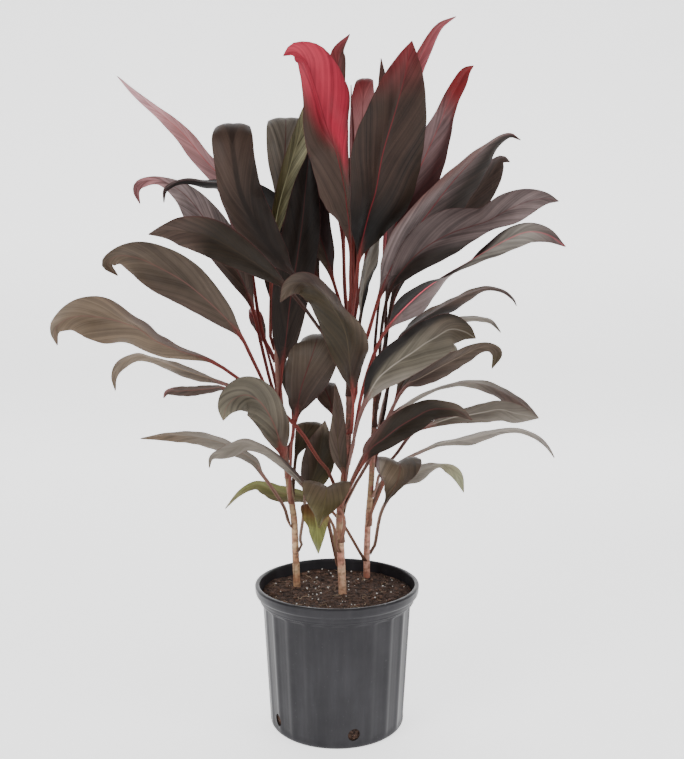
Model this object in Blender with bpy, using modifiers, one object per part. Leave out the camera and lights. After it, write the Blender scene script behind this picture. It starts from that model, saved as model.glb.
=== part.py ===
"""A ti plant (Cordyline fruticosa) in a nursery pot: three canes in potting mix, with clasping leaves.

Metres, +Z up. The origin is the middle of the pot's foot, and the plant is seen from -Y.
"""
import math
import random

import bpy
import bmesh
import numpy as np

CM = 0.01
GAP = 0.0003  # between pieces that touch

# Pot, blow-moulded, as its outer side
POT_HEIGHT = 0.228
RIM_RADIUS = 0.132
RIM_DEPTH = 0.015
RIM_EASE = 0.001  # the rim's eased corners
BAND_TOP_RADIUS = 0.1268
BAND_FOOT_RADIUS = 0.1242
BAND_FOOT_HEIGHT = 0.2025
BAND_EASE = 0.0012
WALL_TOP_RADIUS = 0.1198
WALL_FOOT_RADIUS = 0.1080
POT_FOOT_RADIUS = 0.1045
FOOT_BEVEL = 0.004
FOOT_ROUNDING = 0.006
POT_WALL = 0.002
WALL_TOP = 0.199
SHOULDER = 0.204  # where the inside steps out behind the band
WALL_RINGS = (0.187, 0.030, 0.012)  # the flutes run full between the first two and end at the last
FLUTES = 22
STEPS_PER_FLUTE = 3
FLUTE_DEPTH = 0.0018
FLUTE_FOOT = 0.012
FLUTE_FADE = 0.012
FLUTE_TURN = math.radians(-5.5)  # the ridge that is nearest to the front
DRAIN_HOLES = 5
DRAIN_RADIUS = 0.0095
DRAIN_HEIGHT = 0.023
DRAIN_CUT = 0.02
DRAIN_SIDES = 16
DRAIN_TURN = math.radians(14)

# Soil
SOIL_LEVEL = 0.210
SOIL_ROUGHNESS = 0.0035
SOIL_EDGE_DROP = 0.002
SOIL_BUMPS = 6
SOIL_BUMP_PITCH = (14, 60)  # radians per metre
SOIL_RINGS = 6
SOIL_STEPS = 44
CANE_HOLE_PLAY = 0.00035

# Leaves, in metres
STALK_HALF_WIDTH = 0.0038
STALK_FOOT_HALF_WIDTH = 0.0045
STALK_FOLD = math.radians(42)
STALK_THICKNESS = 0.0024
RIB_THICKNESS = 0.0011
EDGE_THICKNESS = 0.0008
TIP_HALF_WIDTH = 0.0006
FLAT_TIP = 0.004
CLASP_THICKNESS = 0.0012
CLASP_ARC = math.radians(50)
CLASP_RISE = 0.012
CLASP_SPREAD = 0.0055
WAVE_HEIGHT = 0.002
WAVES = 2.2
WAVE_FULL_WIDTH = 0.02  # half a blade that waves in full
BLADE_START = 0.12  # share of the blade over which it opens from the stalk
ALONG_STEP = 0.004  # share of a leaf's length between the points that give its direction
STALK_SHARES = (0, 0.12, 0.4, 0.7)
BLADE_STATIONS = 12

# Every route point is written as a viewer in front of the plant sees it: cm to the right of the pot's
# middle and cm above the floor, both measured on the upright plane through the pot's middle, then
# how many cm the point lies nearer to the viewer than that plane.
EYE = np.array([0.008, -1.40, 0.682])


def sight(across, up, nearer):
    """The point in space that a viewer at EYE sees at (across, up) on the plane y = 0."""
    on_plane = np.array([across * CM, 0.0, up * CM])
    return EYE + (on_plane - EYE) * (-nearer * CM - EYE[1]) / -EYE[1]


def unit(v):
    return v / np.linalg.norm(v)


def smooth_route(rows, shares):
    """A Catmull-Rom curve through the rows: its samples at the shares of its length, and each row's share."""
    rows = np.array(rows, float)
    rows = np.vstack([2 * rows[0] - rows[1], rows, 2 * rows[-1] - rows[-2]])
    steps = 24
    fine = []
    for i in range(len(rows) - 3):
        a, b, c, d = rows[i:i + 4]
        for t in np.arange(steps) / steps:
            line = 2 * b + (c - a) * t
            bend = (2 * a - 5 * b + 4 * c - d) * t**2 + (3 * b - 3 * c + d - a) * t**3
            fine.append(0.5 * (line + bend))
    fine.append(rows[-2])
    fine = np.array(fine)
    legs = np.linalg.norm(np.diff(fine[:, :3], axis=0), axis=1)
    run = np.concatenate([[0], np.cumsum(legs)])
    at = np.asarray(shares) * run[-1]
    samples = np.stack([np.interp(at, run, fine[:, k]) for k in range(fine.shape[1])], axis=1)
    return samples, run[::steps] / run[-1]


class Cane:
    """A bare stem with leaf scars, tapering from foot_radius to top_radius."""

    def __init__(self, name, foot_radius, top_radius, route):
        self.name = name
        self.foot_radius = foot_radius
        self.top_radius = top_radius
        self.route = [sight(*row) for row in route]
        self.axis = smooth_route(self.route, np.linspace(0, 1, 60))[0]

    def at(self, height):
        """The axis point at a height in metres, and the radius there."""
        shares = np.linspace(0, 1, len(self.axis))
        share = np.interp(height, self.axis[:, 2], shares)
        point = np.array([np.interp(share, shares, self.axis[:, k]) for k in range(3)])
        return point, self.foot_radius + (self.top_radius - self.foot_radius) * share


LEFT = Cane("cane_left", 0.0062, 0.0045,
            [(-6.5, 15, -3), (-6.5, 22, -3), (-6.7, 28, -3), (-6.9, 33, -3), (-7.6, 38, -3),
             (-8.3, 44, -3), (-8.8, 50, -3), (-9.3, 56, -3), (-9.6, 64, -3)])
MIDDLE = Cane("cane_middle", 0.0068, 0.0045,
              [(1.1, 14, 0.6), (0.9, 20.8, 0.6), (0.6, 28, 0.6), (0.4, 33, 0.6), (0.9, 38, 0.6),
               (1.6, 44, 0.6), (1.9, 50, 0.6), (1.9, 58, 0.6), (2.1, 68, 0.6)])
RIGHT = Cane("cane_right", 0.0060, 0.0045,
             [(4.8, 16, -7.8), (4.8, 23.5, -7.8), (4.8, 28, -7.8), (5, 33, -7.7), (5.4, 38, -7.5),
              (5.7, 44, -7.2), (6, 50, -7), (6.4, 58, -7)])
CANES = (LEFT, MIDDLE, RIGHT)
CANE_RINGS = 14

# How a blade's turn about its rib is measured
VIEWER = "viewer"  # 0 degrees: the upper face looks at the viewer
SKY = "sky"  # 0 degrees: the upper face looks up
OVER = "over"  # 0 degrees: the right half points to the viewer's right, on a blade that arches away
LEAVES = []


def leaf(name, cane, foot, stalk, blade, fold=14, faces=VIEWER):
    """Notes one leaf. foot is its height on the cane in cm, stalk holds route points, and each blade row
    is a route point, the half width there in cm and the blade's turn about its rib in degrees. fold is
    how far each half is folded up from flat, in degrees."""
    LEAVES.append(dict(name="leaf_" + name, cane=cane, foot=foot, stalk=stalk, blade=blade,
                       fold=math.radians(fold), faces=faces))


# the leaves of the left cane
leaf("left_pink", LEFT, foot=58,
     stalk=[(-11.5, 62, -5.5), (-12.5, 67, -8.5)],
     blade=[(-13.2, 72.5, -11, 0.4, -30), (-15, 79.5, -13.6, 1.6, -40), (-17.3, 86, -15.6, 2.1, -40),
            (-20.6, 90, -17, 2.1, -40), (-24, 94, -17.8, 1.7, -40), (-27.5, 97, -18, 1.2, -40),
            (-31, 99.8, -18, 0.7, -40), (-33.7, 102.3, -18, 0.06, -40)])
leaf("left_grey_arch", LEFT, foot=52,
     stalk=[(-10.6, 55, -4), (-12, 61, -5.5)],
     blade=[(-13.2, 66.5, -7, 0.4, 10), (-15, 71.5, -8.5, 2, 0), (-17.8, 76.5, -10, 3, 0),
            (-20.8, 81, -11.5, 2.9, -10), (-23.8, 84.6, -12.5, 2, -20), (-27.5, 86.6, -13, 0.9, -30),
            (-30.4, 86.2, -13, 0.9, -30), (-31.2, 84.9, -13, 0.6, -20), (-30.6, 83, -13, 0.06, -20)])
leaf("left_olive_folded", LEFT, foot=60, fold=40,
     stalk=[(-10.6, 63, -3.5), (-10.4, 70, -4)],
     blade=[(-10.1, 76, -4.5, 0.5, 15), (-9.2, 82, -5, 1.6, 15), (-7.5, 88, -6, 2.1, 15),
            (-5.9, 93, -7, 2, 15), (-4.5, 97.5, -8, 1.2, 15), (-3.3, 101, -8.5, 0.06, 15)])
leaf("left_blunt", LEFT, foot=61.5, fold=-10, faces=OVER,
     stalk=[(-10, 66, -6), (-9.5, 72, -8.5)],
     blade=[(-8.7, 78.5, -11, 0.4, 0), (-8.3, 84.5, -12.5, 1.5, 0), (-8.1, 89.5, -13.5, 2.9, 0),
            (-7.9, 93.5, -15, 3.4, 0), (-7.9, 95.9, -18, 3.2, 0), (-8.1, 95.4, -22, 2.3, 0),
            (-8.2, 92.4, -25, 0.06, 0)])
leaf("left_inner", LEFT, foot=48,
     stalk=[(-9.2, 52, -2.2)],
     blade=[(-8.6, 57.5, -2.3, 0.4, -20), (-8, 62, -2.3, 2.2, -15), (-7.3, 68, -2.4, 3, -10),
            (-6.3, 74, -2.8, 3.2, 0), (-5.4, 80, -3.5, 3, 0), (-4.8, 86, -4.2, 1.9, 0),
            (-4.3, 91, -5, 0.06, 0)])
leaf("left_brown_broad", LEFT, foot=46,
     stalk=[(-10.7, 52.5, -2.5), (-13.6, 59.2, -1.5)],
     blade=[(-15.2, 62.6, -1, 0.5, -15), (-18, 65.8, 0, 1.9, -10), (-21, 68.6, 1, 2.9, -10),
            (-24, 71, 2, 3.5, -8), (-27.5, 73, 3, 3.6, -8), (-31, 74.6, 3.5, 2.8, -10),
            (-34.2, 75, 3, 1.4, -20), (-36, 73.6, 2.5, 1, -30), (-34.3, 71.9, 2, 0.06, -30)])
leaf("left_thin_arch", LEFT, foot=44.5,
     stalk=[(-10.4, 48.5, -4), (-13.7, 53, -5)],
     blade=[(-18.4, 55.3, -6, 0.6, -50), (-21.7, 56.3, -6.5, 1.3, -50), (-25.3, 57.5, -7, 1.5, -50),
            (-28.8, 58.8, -7.5, 1, -55), (-31.5, 59.3, -8, 1, -45), (-34.2, 57.9, -8, 1, -30),
            (-35.3, 56, -8, 0.6, -30), (-35.1, 53.8, -8, 0.06, -30)])
leaf("left_small_red", LEFT, foot=41,
     stalk=[(-9.7, 46.5, -7), (-13.2, 51.5, -10)],
     blade=[(-17.5, 54.2, -12, 0.5, -40), (-20.5, 54.1, -12.8, 1, -40), (-24.4, 53.8, -13.4, 1.1, -35),
            (-26.8, 53.6, -13.6, 0.6, -30), (-27.5, 52.6, -13.6, 0.06, -30)])
leaf("left_front_droop", LEFT, foot=39.2,
     stalk=[(-8.7, 42.6, 0.5)],
     blade=[(-9, 45, 1.4, 1.2, 0), (-9.7, 47.6, 3.6, 2.2, 0), (-10.8, 50, 5.4, 2.6, 0),
            (-12.3, 52.1, 7, 2.9, 0), (-14.3, 53.1, 8.6, 2.9, 0), (-16.3, 52.5, 9.8, 2.3, 0),
            (-17.6, 51, 10.3, 1.4, 0), (-18.1, 49, 10.3, 0.06, 0)])
leaf("left_long_thin", LEFT, foot=31,
     stalk=[(-8.6, 35, -2.5), (-10.4, 38.2, -2.5)],
     blade=[(-11.8, 40.4, -2.5, 0.5, -40), (-13, 42.4, -2.5, 1, -45), (-15.8, 44.2, -2, 1.3, -45),
            (-18.5, 45.5, -1.5, 1.6, -45), (-22.6, 46.4, -1, 1.5, -45), (-27, 46.6, -0.5, 1, -45),
            (-31.3, 46.1, 0, 0.06, -45)])
leaf("left_front_broad", LEFT, foot=35, fold=-10, faces=OVER,
     stalk=[(-7.4, 40, -1.5), (-7.1, 45.5, -0.8)],
     blade=[(-6.4, 49.6, 0, 0.5, -15), (-6.2, 51.5, 0.2, 1.6, -20), (-5.7, 54, 0.8, 3.1, -20),
            (-4.8, 56.8, 1.3, 4, -20), (-3.8, 59.7, 1.3, 4, -17), (-3.1, 62, 0, 3.2, -12),
            (-2.9, 62.7, -3.4, 2.3, 0), (-3, 60.9, -8, 0.06, 0)])
leaf("left_low_dark", LEFT, foot=27,
     stalk=[(-5.8, 30, -2.5), (-5.3, 33.5, -2.3)],
     blade=[(-5, 36.8, -2.5, 0.5, 0), (-4, 39.2, -2.8, 2, 0), (-3.1, 42, -2.9, 2.7, 0),
            (-2.6, 45, -2.6, 2.3, 0), (-2.2, 47.2, -2.2, 1.2, 0), (-1.9, 49, -1.8, 0.06, 0)])
leaf("left_curled", LEFT, foot=36, fold=-10, faces=OVER,
     stalk=[(-6.9, 39.5, -4.5)],
     blade=[(-6.5, 43.4, -5, 0.4, 0), (-5.5, 45.8, -5.4, 1.4, 0), (-4.6, 47.9, -6.2, 2.1, 0),
            (-4.2, 48.8, -8, 2.1, 0), (-4.1, 48.2, -11, 1.5, 0), (-4.2, 46.5, -13.5, 0.06, 0)])
leaf("back_left", LEFT, foot=55, faces=SKY,
     stalk=[(-9.6, 60, -8)],
     blade=[(-9.6, 66, -14, 0.4, 0), (-9, 71, -20, 2.8, 0), (-8, 74.5, -26, 3.4, 0),
            (-7, 75, -32, 2.5, 0), (-6, 73, -37, 0.06, 0)])
leaf("back_left_small", LEFT, foot=50, faces=SKY,
     stalk=[(-10, 56, -7)],
     blade=[(-11.3, 61, -12, 0.3, 0), (-12.4, 64, -16, 1.3, 0), (-13, 66, -19, 1.1, 0),
            (-13.6, 66.8, -22, 0.06, 0)])
leaf("back_left_low", LEFT, foot=42, faces=SKY,
     stalk=[(-7, 46.4, -8.8)],
     blade=[(-7, 51, -13, 0.4, 0), (-6.5, 55, -19, 2.6, 0), (-6, 57.8, -25, 3.2, 0),
            (-5.5, 57.5, -31, 2.4, 0), (-5.5, 54.5, -36, 0.06, 0)])

# the leaves of the middle cane
leaf("top_red", MIDDLE, foot=65, fold=30,
     stalk=[(2.2, 71, 2)],
     blade=[(2.2, 76.5, 2.5, 0.4, -30), (1.9, 80.5, 3, 1.7, -40), (1.6, 82.7, 3.3, 3.4, -45),
            (1.3, 85.3, 3.7, 4.4, -48), (0, 90.8, 4.3, 4.2, -35), (-1.5, 94.6, 4.5, 4, 0),
            (-2.7, 98.5, 4.4, 4.6, 33), (-3.9, 102.4, 4.1, 4.4, 42), (-4.8, 104.6, 4, 3.4, 40),
            (-6.5, 105.9, 4.2, 1.5, 30), (-8.2, 105.4, 4.6, 0.06, 30)])
leaf("top_dark", MIDDLE, foot=63,
     stalk=[(2.9, 69, 3)],
     blade=[(3.4, 74.8, 4, 0.5, 20), (4.3, 79, 4.8, 3.5, 40), (5.1, 82, 5.3, 5.3, 42),
            (6, 85, 5.8, 6.2, 40), (7.1, 90.8, 6.3, 6.5, 34), (8.9, 96.8, 6.4, 5, 26),
            (10.4, 102.2, 6, 3, 14), (11, 105.2, 5.6, 1.5, 5), (11.5, 107.6, 5, 0.06, 0)])
leaf("top_small_red", MIDDLE, foot=64,
     stalk=[(1.2, 70, -1.5)],
     blade=[(1, 77, -3, 0.4, 0), (0.6, 85, -5, 1.2, 0), (0.1, 93, -7, 1.5, 0), (-0.1, 100, -8, 1.5, 0),
            (0.1, 104.5, -8.5, 1.4, 0), (0.3, 106.3, -8.8, 0.9, 0), (2, 108.6, -9, 0.06, 0)])
leaf("top_spear", MIDDLE, foot=66, fold=60,
     stalk=[(2.4, 72, 0.3)],
     blade=[(2.2, 80, 0.2, 0.6, 60), (2.1, 88, 0, 0.7, 60), (2.1, 95, 0, 0.5, 60),
            (2.2, 101, 0, 0.06, 60)])
leaf("top_round", MIDDLE, foot=62, fold=-10, faces=OVER,
     stalk=[(3, 68, -1.5)],
     blade=[(3.4, 76, -3.5, 0.4, 0), (3.6, 84, -5.5, 1.4, 0), (3.8, 92, -7, 2, 0), (4, 98, -8, 2, 0),
            (4.2, 101.2, -9.2, 1.6, 0), (4.4, 102, -11.5, 1.2, 0), (4.5, 101, -14, 0.06, 0)])
leaf("top_dark_tip", MIDDLE, foot=60,
     stalk=[(2.9, 66, -4)],
     blade=[(4.6, 75, -7, 0.4, 0), (6, 85, -9.6, 1.6, 0), (7.2, 94, -12, 1.9, 0),
            (7.4, 99.5, -13.4, 1.4, 0), (7, 102.5, -13.8, 0.6, 0), (6.8, 105, -14, 0.06, 0)])
leaf("mid_arching", MIDDLE, foot=47,
     stalk=[(2.5, 51.5, 2.8)],
     blade=[(2.3, 54, 3.6, 0.6, 34), (2.1, 56, 4.5, 1.7, 40), (1.9, 59, 6, 2.7, 25),
            (1.6, 62, 7.5, 3.3, -10), (0.9, 64.3, 9, 3.4, -30), (-0.5, 66.8, 11, 3.2, -50),
            (-2.5, 69.2, 13, 2.7, -45), (-5.1, 70.8, 15, 1.9, -25), (-7.3, 70.2, 16.8, 1.3, -15),
            (-8.9, 67.8, 17.8, 0.06, 0)])
leaf("mid_pale_narrow", MIDDLE, foot=55.5,
     stalk=[(3, 60.5, -0.6)],
     blade=[(3.6, 65.5, 0.3, 0.4, 50), (3.9, 68.8, 0, 1, 50), (4.4, 71.8, -0.3, 1.4, 50),
            (5.3, 74.8, -0.8, 1.5, 50), (6.1, 77.9, -1.5, 0.9, 50), (6.6, 79.7, -2, 0.06, 50)])
leaf("mid_dark_upright", MIDDLE, foot=61,
     stalk=[(0.9, 66, -1)],
     blade=[(-0.7, 71.5, -3, 0.4, 0), (-1.8, 75.5, -4.5, 1.6, 0), (-3.2, 80, -6, 2.4, 0),
            (-4.2, 86, -8, 3, 0), (-4.5, 91.5, -11, 1.8, 0), (-4, 94.5, -14, 0.06, 0)])
leaf("mid_left_upright", MIDDLE, foot=56, fold=-10, faces=OVER,
     stalk=[(0.8, 62, 2.5), (-2, 66.5, 4)],
     blade=[(-6.6, 72, 6, 0.4, -10), (-9.3, 75, 6.5, 1.8, 0), (-12.3, 79.2, 6.5, 2.9, 0),
            (-14.9, 84.5, 6.5, 3.2, 0), (-15.9, 89.8, 6, 3.1, 0), (-16.2, 93.5, 4.5, 3.1, 0),
            (-16, 95.2, 1.5, 2.5, 0), (-15.7, 94.4, -1.5, 1.4, 0), (-15.5, 92.4, -3.5, 0.06, 0)])
leaf("mid_left_olive", MIDDLE, foot=53,
     stalk=[(0.8, 58.5, 5), (-3.2, 64, 8), (-5.2, 66.8, 9)],
     blade=[(-8, 70.2, 10, 0.5, -10), (-12, 73.3, 11, 1.7, -10), (-16, 75.9, 12, 2.5, -10),
            (-20, 78, 12.5, 2.8, -10), (-24, 78.8, 12.5, 2.2, -10), (-26.7, 78.8, 12.5, 1.1, -10),
            (-29.4, 78.3, 12.5, 0.06, -10)])
leaf("mid_left_thin", MIDDLE, foot=58,
     stalk=[(-0.2, 64, -2), (-3, 70, -5)],
     blade=[(-6, 75.5, -7.5, 0.5, -10), (-9, 80.5, -8.5, 3, -20), (-12.5, 84, -9, 3.1, -35),
            (-16.5, 86, -9.5, 2.4, -55), (-20.5, 86.4, -10, 1.7, -65), (-24, 86.6, -10, 0.9, -65),
            (-26.6, 85.3, -10, 0.6, -50), (-26.9, 83.2, -10, 0.06, -50)])
leaf("mid_right_olive", MIDDLE, foot=38,
     stalk=[(1.9, 42, 2.5), (2.8, 46, 4), (3.6, 49.3, 5)],
     blade=[(4.6, 52.3, 6, 0.6, 5), (6.3, 55.4, 7.2, 1.9, 0), (8, 57.1, 8.2, 2.6, 0),
            (10, 58.6, 9.2, 2.9, 0), (12, 59.9, 10.2, 3, 0), (13.8, 61.2, 11, 3.1, 0),
            (15.5, 62.2, 12, 3.1, 0), (17.8, 63.5, 13, 2.6, 10), (20, 63.2, 13.5, 1.6, 20),
            (21.9, 62.1, 13.5, 0.06, 20)])
leaf("mid_right_dark", MIDDLE, foot=36,
     stalk=[(3.2, 40.3, 3)],
     blade=[(4.3, 42.5, 4.5, 0.4, 10), (5.3, 44.4, 5.5, 1.2, 5), (7.6, 46.2, 7.2, 1.8, 0),
            (9.9, 48, 8.7, 2.1, 0), (12.4, 49.5, 10, 2.1, 0), (14.7, 50.7, 11, 1.7, 5),
            (17, 50.9, 11.7, 1.3, 10), (19.2, 50.6, 12.2, 0.9, 10), (21.5, 49.1, 12.5, 0.06, 10)])
leaf("mid_right_pink_rib", MIDDLE, foot=42,
     stalk=[(3, 47.5, 1.3), (4.2, 54, 3.2), (6, 60, 6)],
     blade=[(8, 64, 8, 0.5, 35), (11, 67.3, 10, 2.6, 45), (14, 70, 11, 2.4, 55),
            (17, 72, 11.5, 1.8, 78), (20.5, 74, 11.5, 1.6, 100), (23.5, 75.8, 11, 1.8, 130),
            (27, 77.7, 10.5, 1.8, 155), (30, 78.7, 10, 1.6, 160), (33, 78.2, 9.6, 1.1, 160),
            (35.7, 76.4, 9, 0.06, 160)])
leaf("mid_right_mauve", MIDDLE, foot=51, fold=24,
     stalk=[(3.4, 57, 0.8), (5, 63, 1.5)],
     blade=[(6.7, 69, 2, 0.5, 20), (8.5, 73.2, 2.3, 2.4, 20), (11, 77.3, 2.5, 4, 25),
            (14.5, 82, 2.5, 4.5, 35), (18, 86.5, 2, 4.2, 50), (21.5, 90.3, 1.5, 3.4, 57),
            (24.5, 92.9, 1, 1.8, 60), (26.8, 93.7, 0.7, 0.9, 60), (28.4, 92.7, 0.5, 0.06, 60)])
leaf("mid_right_green_tip", MIDDLE, foot=35,
     stalk=[(3, 38.6, 1), (5.3, 42.8, 0.8), (8.3, 50, 0)],
     blade=[(10.6, 54.4, -0.5, 0.5, 35), (13.1, 55.8, -0.8, 1.4, 30), (16.9, 57.9, -1.3, 1.9, 30),
            (20.2, 59.6, -1.8, 1.5, 30), (22.4, 60.6, -2, 0.9, 20), (24.2, 60.7, -2, 0.8, 20),
            (25.3, 59.6, -2, 0.9, 10), (24.5, 57.3, -2, 0.06, 10)])
leaf("mid_right_long_arch", MIDDLE, foot=34,
     stalk=[(2, 38.3, -0.8), (4, 43, -2.5), (6.2, 47.2, -4)],
     blade=[(9, 50.4, -5, 0.5, 60), (12.5, 52.6, -6, 0.9, 65), (16, 54.3, -7, 1, 68),
            (20, 55.2, -8, 1.1, 65), (24, 54.6, -8.5, 1.7, 55), (28, 52.6, -9, 1.8, 50),
            (30.5, 50.8, -9, 1, 50), (32, 49.5, -9, 0.06, 50)])
leaf("mid_left_great_brown", MIDDLE, foot=37, fold=20,
     stalk=[(-1.3, 40.6, -0.4), (-3.2, 43, 0), (-5.6, 47, 0.4), (-9.1, 50.7, 1), (-14.5, 55, 2.4)],
     blade=[(-19.7, 58.6, 5, 0.5, -40), (-24.3, 60, 7.6, 1.5, -50), (-28.3, 61.6, 9.8, 2.3, -48),
            (-30.8, 63.4, 11.1, 3.1, -48), (-32.8, 64.3, 12, 3.4, -45), (-35.5, 65.1, 13, 3.7, -30),
            (-38, 65.5, 13.8, 3.4, -12), (-40.5, 65.6, 14.2, 2.7, -10), (-42.7, 65, 14.4, 1.7, -10),
            (-44.5, 63.4, 14.4, 0.8, -10), (-44.1, 61, 14.4, 0.06, -10)])
leaf("mid_left_low_grey", MIDDLE, foot=29.5,
     stalk=[(1.3, 33, 2.2), (0.2, 35.1, 3), (-2.2, 36.2, 3.5)],
     blade=[(-4.6, 38, 4.5, 0.5, -30), (-6.6, 40.2, 5.8, 0.65, -30), (-9.2, 42.7, 7.1, 0.8, -30),
            (-11.8, 44.4, 7.6, 0.8, -30), (-14.5, 45.2, 8, 1.1, -25), (-16.3, 44.6, 8.4, 1.2, -20),
            (-18.1, 43.9, 8.7, 1, -20), (-20, 43.1, 9, 0.4, -20), (-20.4, 41.4, 9, 0.06, -20)])
leaf("mid_left_low_green", MIDDLE, foot=25.5,
     stalk=[(-1.2, 31.5, -1.2), (-1.9, 34.5, -3.6)],
     blade=[(-3.2, 36.2, -5, 0.5, -30), (-6, 37, -7, 1.3, -30), (-9.2, 37.4, -8.7, 1.6, -30),
            (-11.3, 38.2, -9.6, 1.4, -30), (-13.2, 38.6, -10.3, 0.9, -30), (-15.6, 37.3, -11, 0.5, -20),
            (-17.9, 34.8, -11.5, 0.06, -20)])
leaf("mid_low_green_tip", MIDDLE, foot=28, faces=SKY,
     stalk=[(-0.7, 32, 2)],
     blade=[(-2, 34, 2.2, 0.5, 0), (-3, 35.1, 3.1, 1.2, 0), (-3.6, 34.9, 4.5, 2.1, 0),
            (-3.5, 33.2, 5.6, 2.2, 0), (-3.2, 31, 6.2, 1.4, 0), (-3.1, 29, 6.6, 0.7, 0),
            (-3, 27.4, 6.9, 0.06, 0)])
leaf("mid_left_black", MIDDLE, foot=43, fold=-10, faces=OVER,
     stalk=[(0.2, 47.6, -1)],
     blade=[(-0.5, 50, -2.4, 0.5, 0), (-1.4, 53, -4.5, 1.9, 0), (-2.5, 54.9, -7.2, 2.3, 0),
            (-3.7, 54.8, -10.2, 1.7, 0), (-4.8, 53, -12.6, 0.06, 0)])
leaf("mid_low_narrow", MIDDLE, foot=34,
     stalk=[(1.3, 37.5, 3)],
     blade=[(1.1, 40.3, 3, 0.4, 0), (0.4, 43.2, 3, 1.2, 0), (0.1, 46, 3, 1.4, 0),
            (0.2, 49, 2.7, 1.1, 0), (0.1, 52, 2.3, 0.7, 0), (-0.3, 55, 1.8, 0.06, 0)])
leaf("back_middle", MIDDLE, foot=59, faces=SKY,
     stalk=[(2.1, 66, -5)],
     blade=[(3, 74, -12, 0.5, 0), (4, 82, -18, 3.2, 0), (5, 88.5, -24, 4, 0), (6, 91.5, -30, 3.6, 0),
            (7, 91, -36, 2.2, 0), (8, 87.5, -41, 0.06, 0)])
leaf("back_middle_left", MIDDLE, foot=57, faces=SKY,
     stalk=[(0.2, 63, -5)],
     blade=[(-3, 71, -12, 0.5, 0), (-5, 78, -19, 3, 0), (-6, 82.5, -25, 3.6, 0), (-6, 83, -31, 2.6, 0),
            (-5.5, 80, -36, 0.06, 0)])

# the leaves of the right cane
leaf("right_pink_tip", RIGHT, foot=55.5,
     stalk=[(5.9, 61, -10.2)],
     blade=[(7, 72, -12.7, 0.4, 40), (8.4, 84, -14.8, 1.6, 45), (9.9, 95, -16, 2, 45),
            (11.7, 102.5, -17, 1.9, 45), (13.7, 106.8, -17, 1.5, 45), (15.6, 109.8, -17, 0.9, 45),
            (18.2, 111.2, -17, 0.06, 45)])
leaf("right_red_tip", RIGHT, foot=53,
     stalk=[(7.6, 60, -7.8)],
     blade=[(8, 73, -8.5, 0.4, 10), (9.6, 81.5, -8.6, 2, 10), (11.3, 85.4, -8.7, 3.9, 12),
            (12.6, 88, -8.8, 3.9, 20), (14.3, 91.7, -8.8, 3.3, 30), (15.6, 94.6, -8.8, 2.6, 35),
            (17.2, 98.5, -8.8, 1.9, 40), (18.6, 101.2, -8.8, 1.6, 40), (19.7, 103, -8.8, 1.1, 40),
            (21, 103.9, -8.8, 0.06, 40)])
leaf("right_dark_behind", RIGHT, foot=50,
     stalk=[(7.5, 58, -5.2)],
     blade=[(8.8, 69, -4.9, 0.4, 10), (11.5, 74, -4.6, 1.6, 10), (15, 77.5, -4.4, 2.6, 10),
            (18.5, 80.8, -4.4, 3, 10), (21, 83.8, -4.4, 2.8, 10), (23.4, 87, -4.4, 2.2, 10),
            (25.4, 89.7, -4.4, 0.9, 20), (26.8, 89.4, -4.4, 0.06, 20)])
leaf("right_grey_long", RIGHT, foot=47,
     stalk=[(6.6, 53, -4.2), (7.1, 63, -0.8)],
     blade=[(8.3, 69.5, 3, 0.5, -15), (10.5, 73, 5, 2, -20), (13.5, 76, 6.5, 3.3, -20),
            (17.5, 78.3, 7.4, 3.6, -25), (21, 79.5, 7.8, 3, -35), (23.5, 80.3, 8, 2.4, -35),
            (26.5, 82, 8, 2.5, -10), (29.5, 83.3, 8, 2, 0), (32.3, 83.8, 8, 1, 0),
            (34.5, 83.4, 8, 0.06, 0)])
leaf("right_thin_arch", RIGHT, foot=45,
     stalk=[(7.6, 50.5, -6.6), (8.6, 58.5, -6)],
     blade=[(9.8, 62.3, -5.5, 0.5, 60), (12, 64.3, -5, 2, 60), (16.5, 67.1, -4.6, 2.2, 60),
            (20.5, 69.1, -4.4, 1.6, 60), (23.5, 70, -4.4, 0.8, 60), (26, 69.6, -4.4, 0.6, 60),
            (27.6, 68.4, -4.4, 0.4, 60), (28.2, 67.2, -4.4, 0.06, 60)])
leaf("right_thin_small", RIGHT, foot=43,
     stalk=[(7, 50, -8.5), (8.6, 56, -10)],
     blade=[(11.5, 61.3, -11.5, 0.5, 60), (14.5, 63.8, -12.5, 1.1, 62), (18.5, 65, -13.5, 1.2, 62),
            (22, 65.3, -14, 1, 60), (24.3, 64.8, -14.5, 0.7, 55), (25.8, 63, -14.5, 0.06, 50)])
leaf("right_long_grey", RIGHT, foot=33,
     stalk=[(6.8, 38.5, -8.5), (9.5, 42, -9.5)],
     blade=[(13.2, 44.1, -10.8, 0.5, 50), (15.8, 45.2, -11.7, 0.7, 50), (18.3, 45.7, -12.5, 0.9, 50),
            (21.4, 46.2, -13.4, 1.3, 45), (25.9, 47.3, -14.5, 0.9, 50), (28.2, 47.6, -15, 0.8, 50),
            (30.2, 47.2, -15, 0.7, 50), (32, 46.3, -15, 0.6, 45), (33.5, 44.9, -15, 0.4, 40),
            (34.7, 43, -15, 0.06, 40)])
leaf("right_front_droop", RIGHT, foot=30, faces=SKY,
     stalk=[(5.6, 34, -6.5), (6.6, 36.5, -5)],
     blade=[(7.6, 39, -3.5, 0.6, 0), (8.6, 41, -1.5, 2.5, 0), (9.6, 42.3, 1.5, 3.3, 0),
            (10.1, 41.6, 4.5, 3.4, 0), (9.8, 39.6, 6.5, 2.9, 0), (8.8, 37.3, 7.3, 1.8, 0),
            (7.5, 35.1, 7.6, 0.06, 0)])
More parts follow.
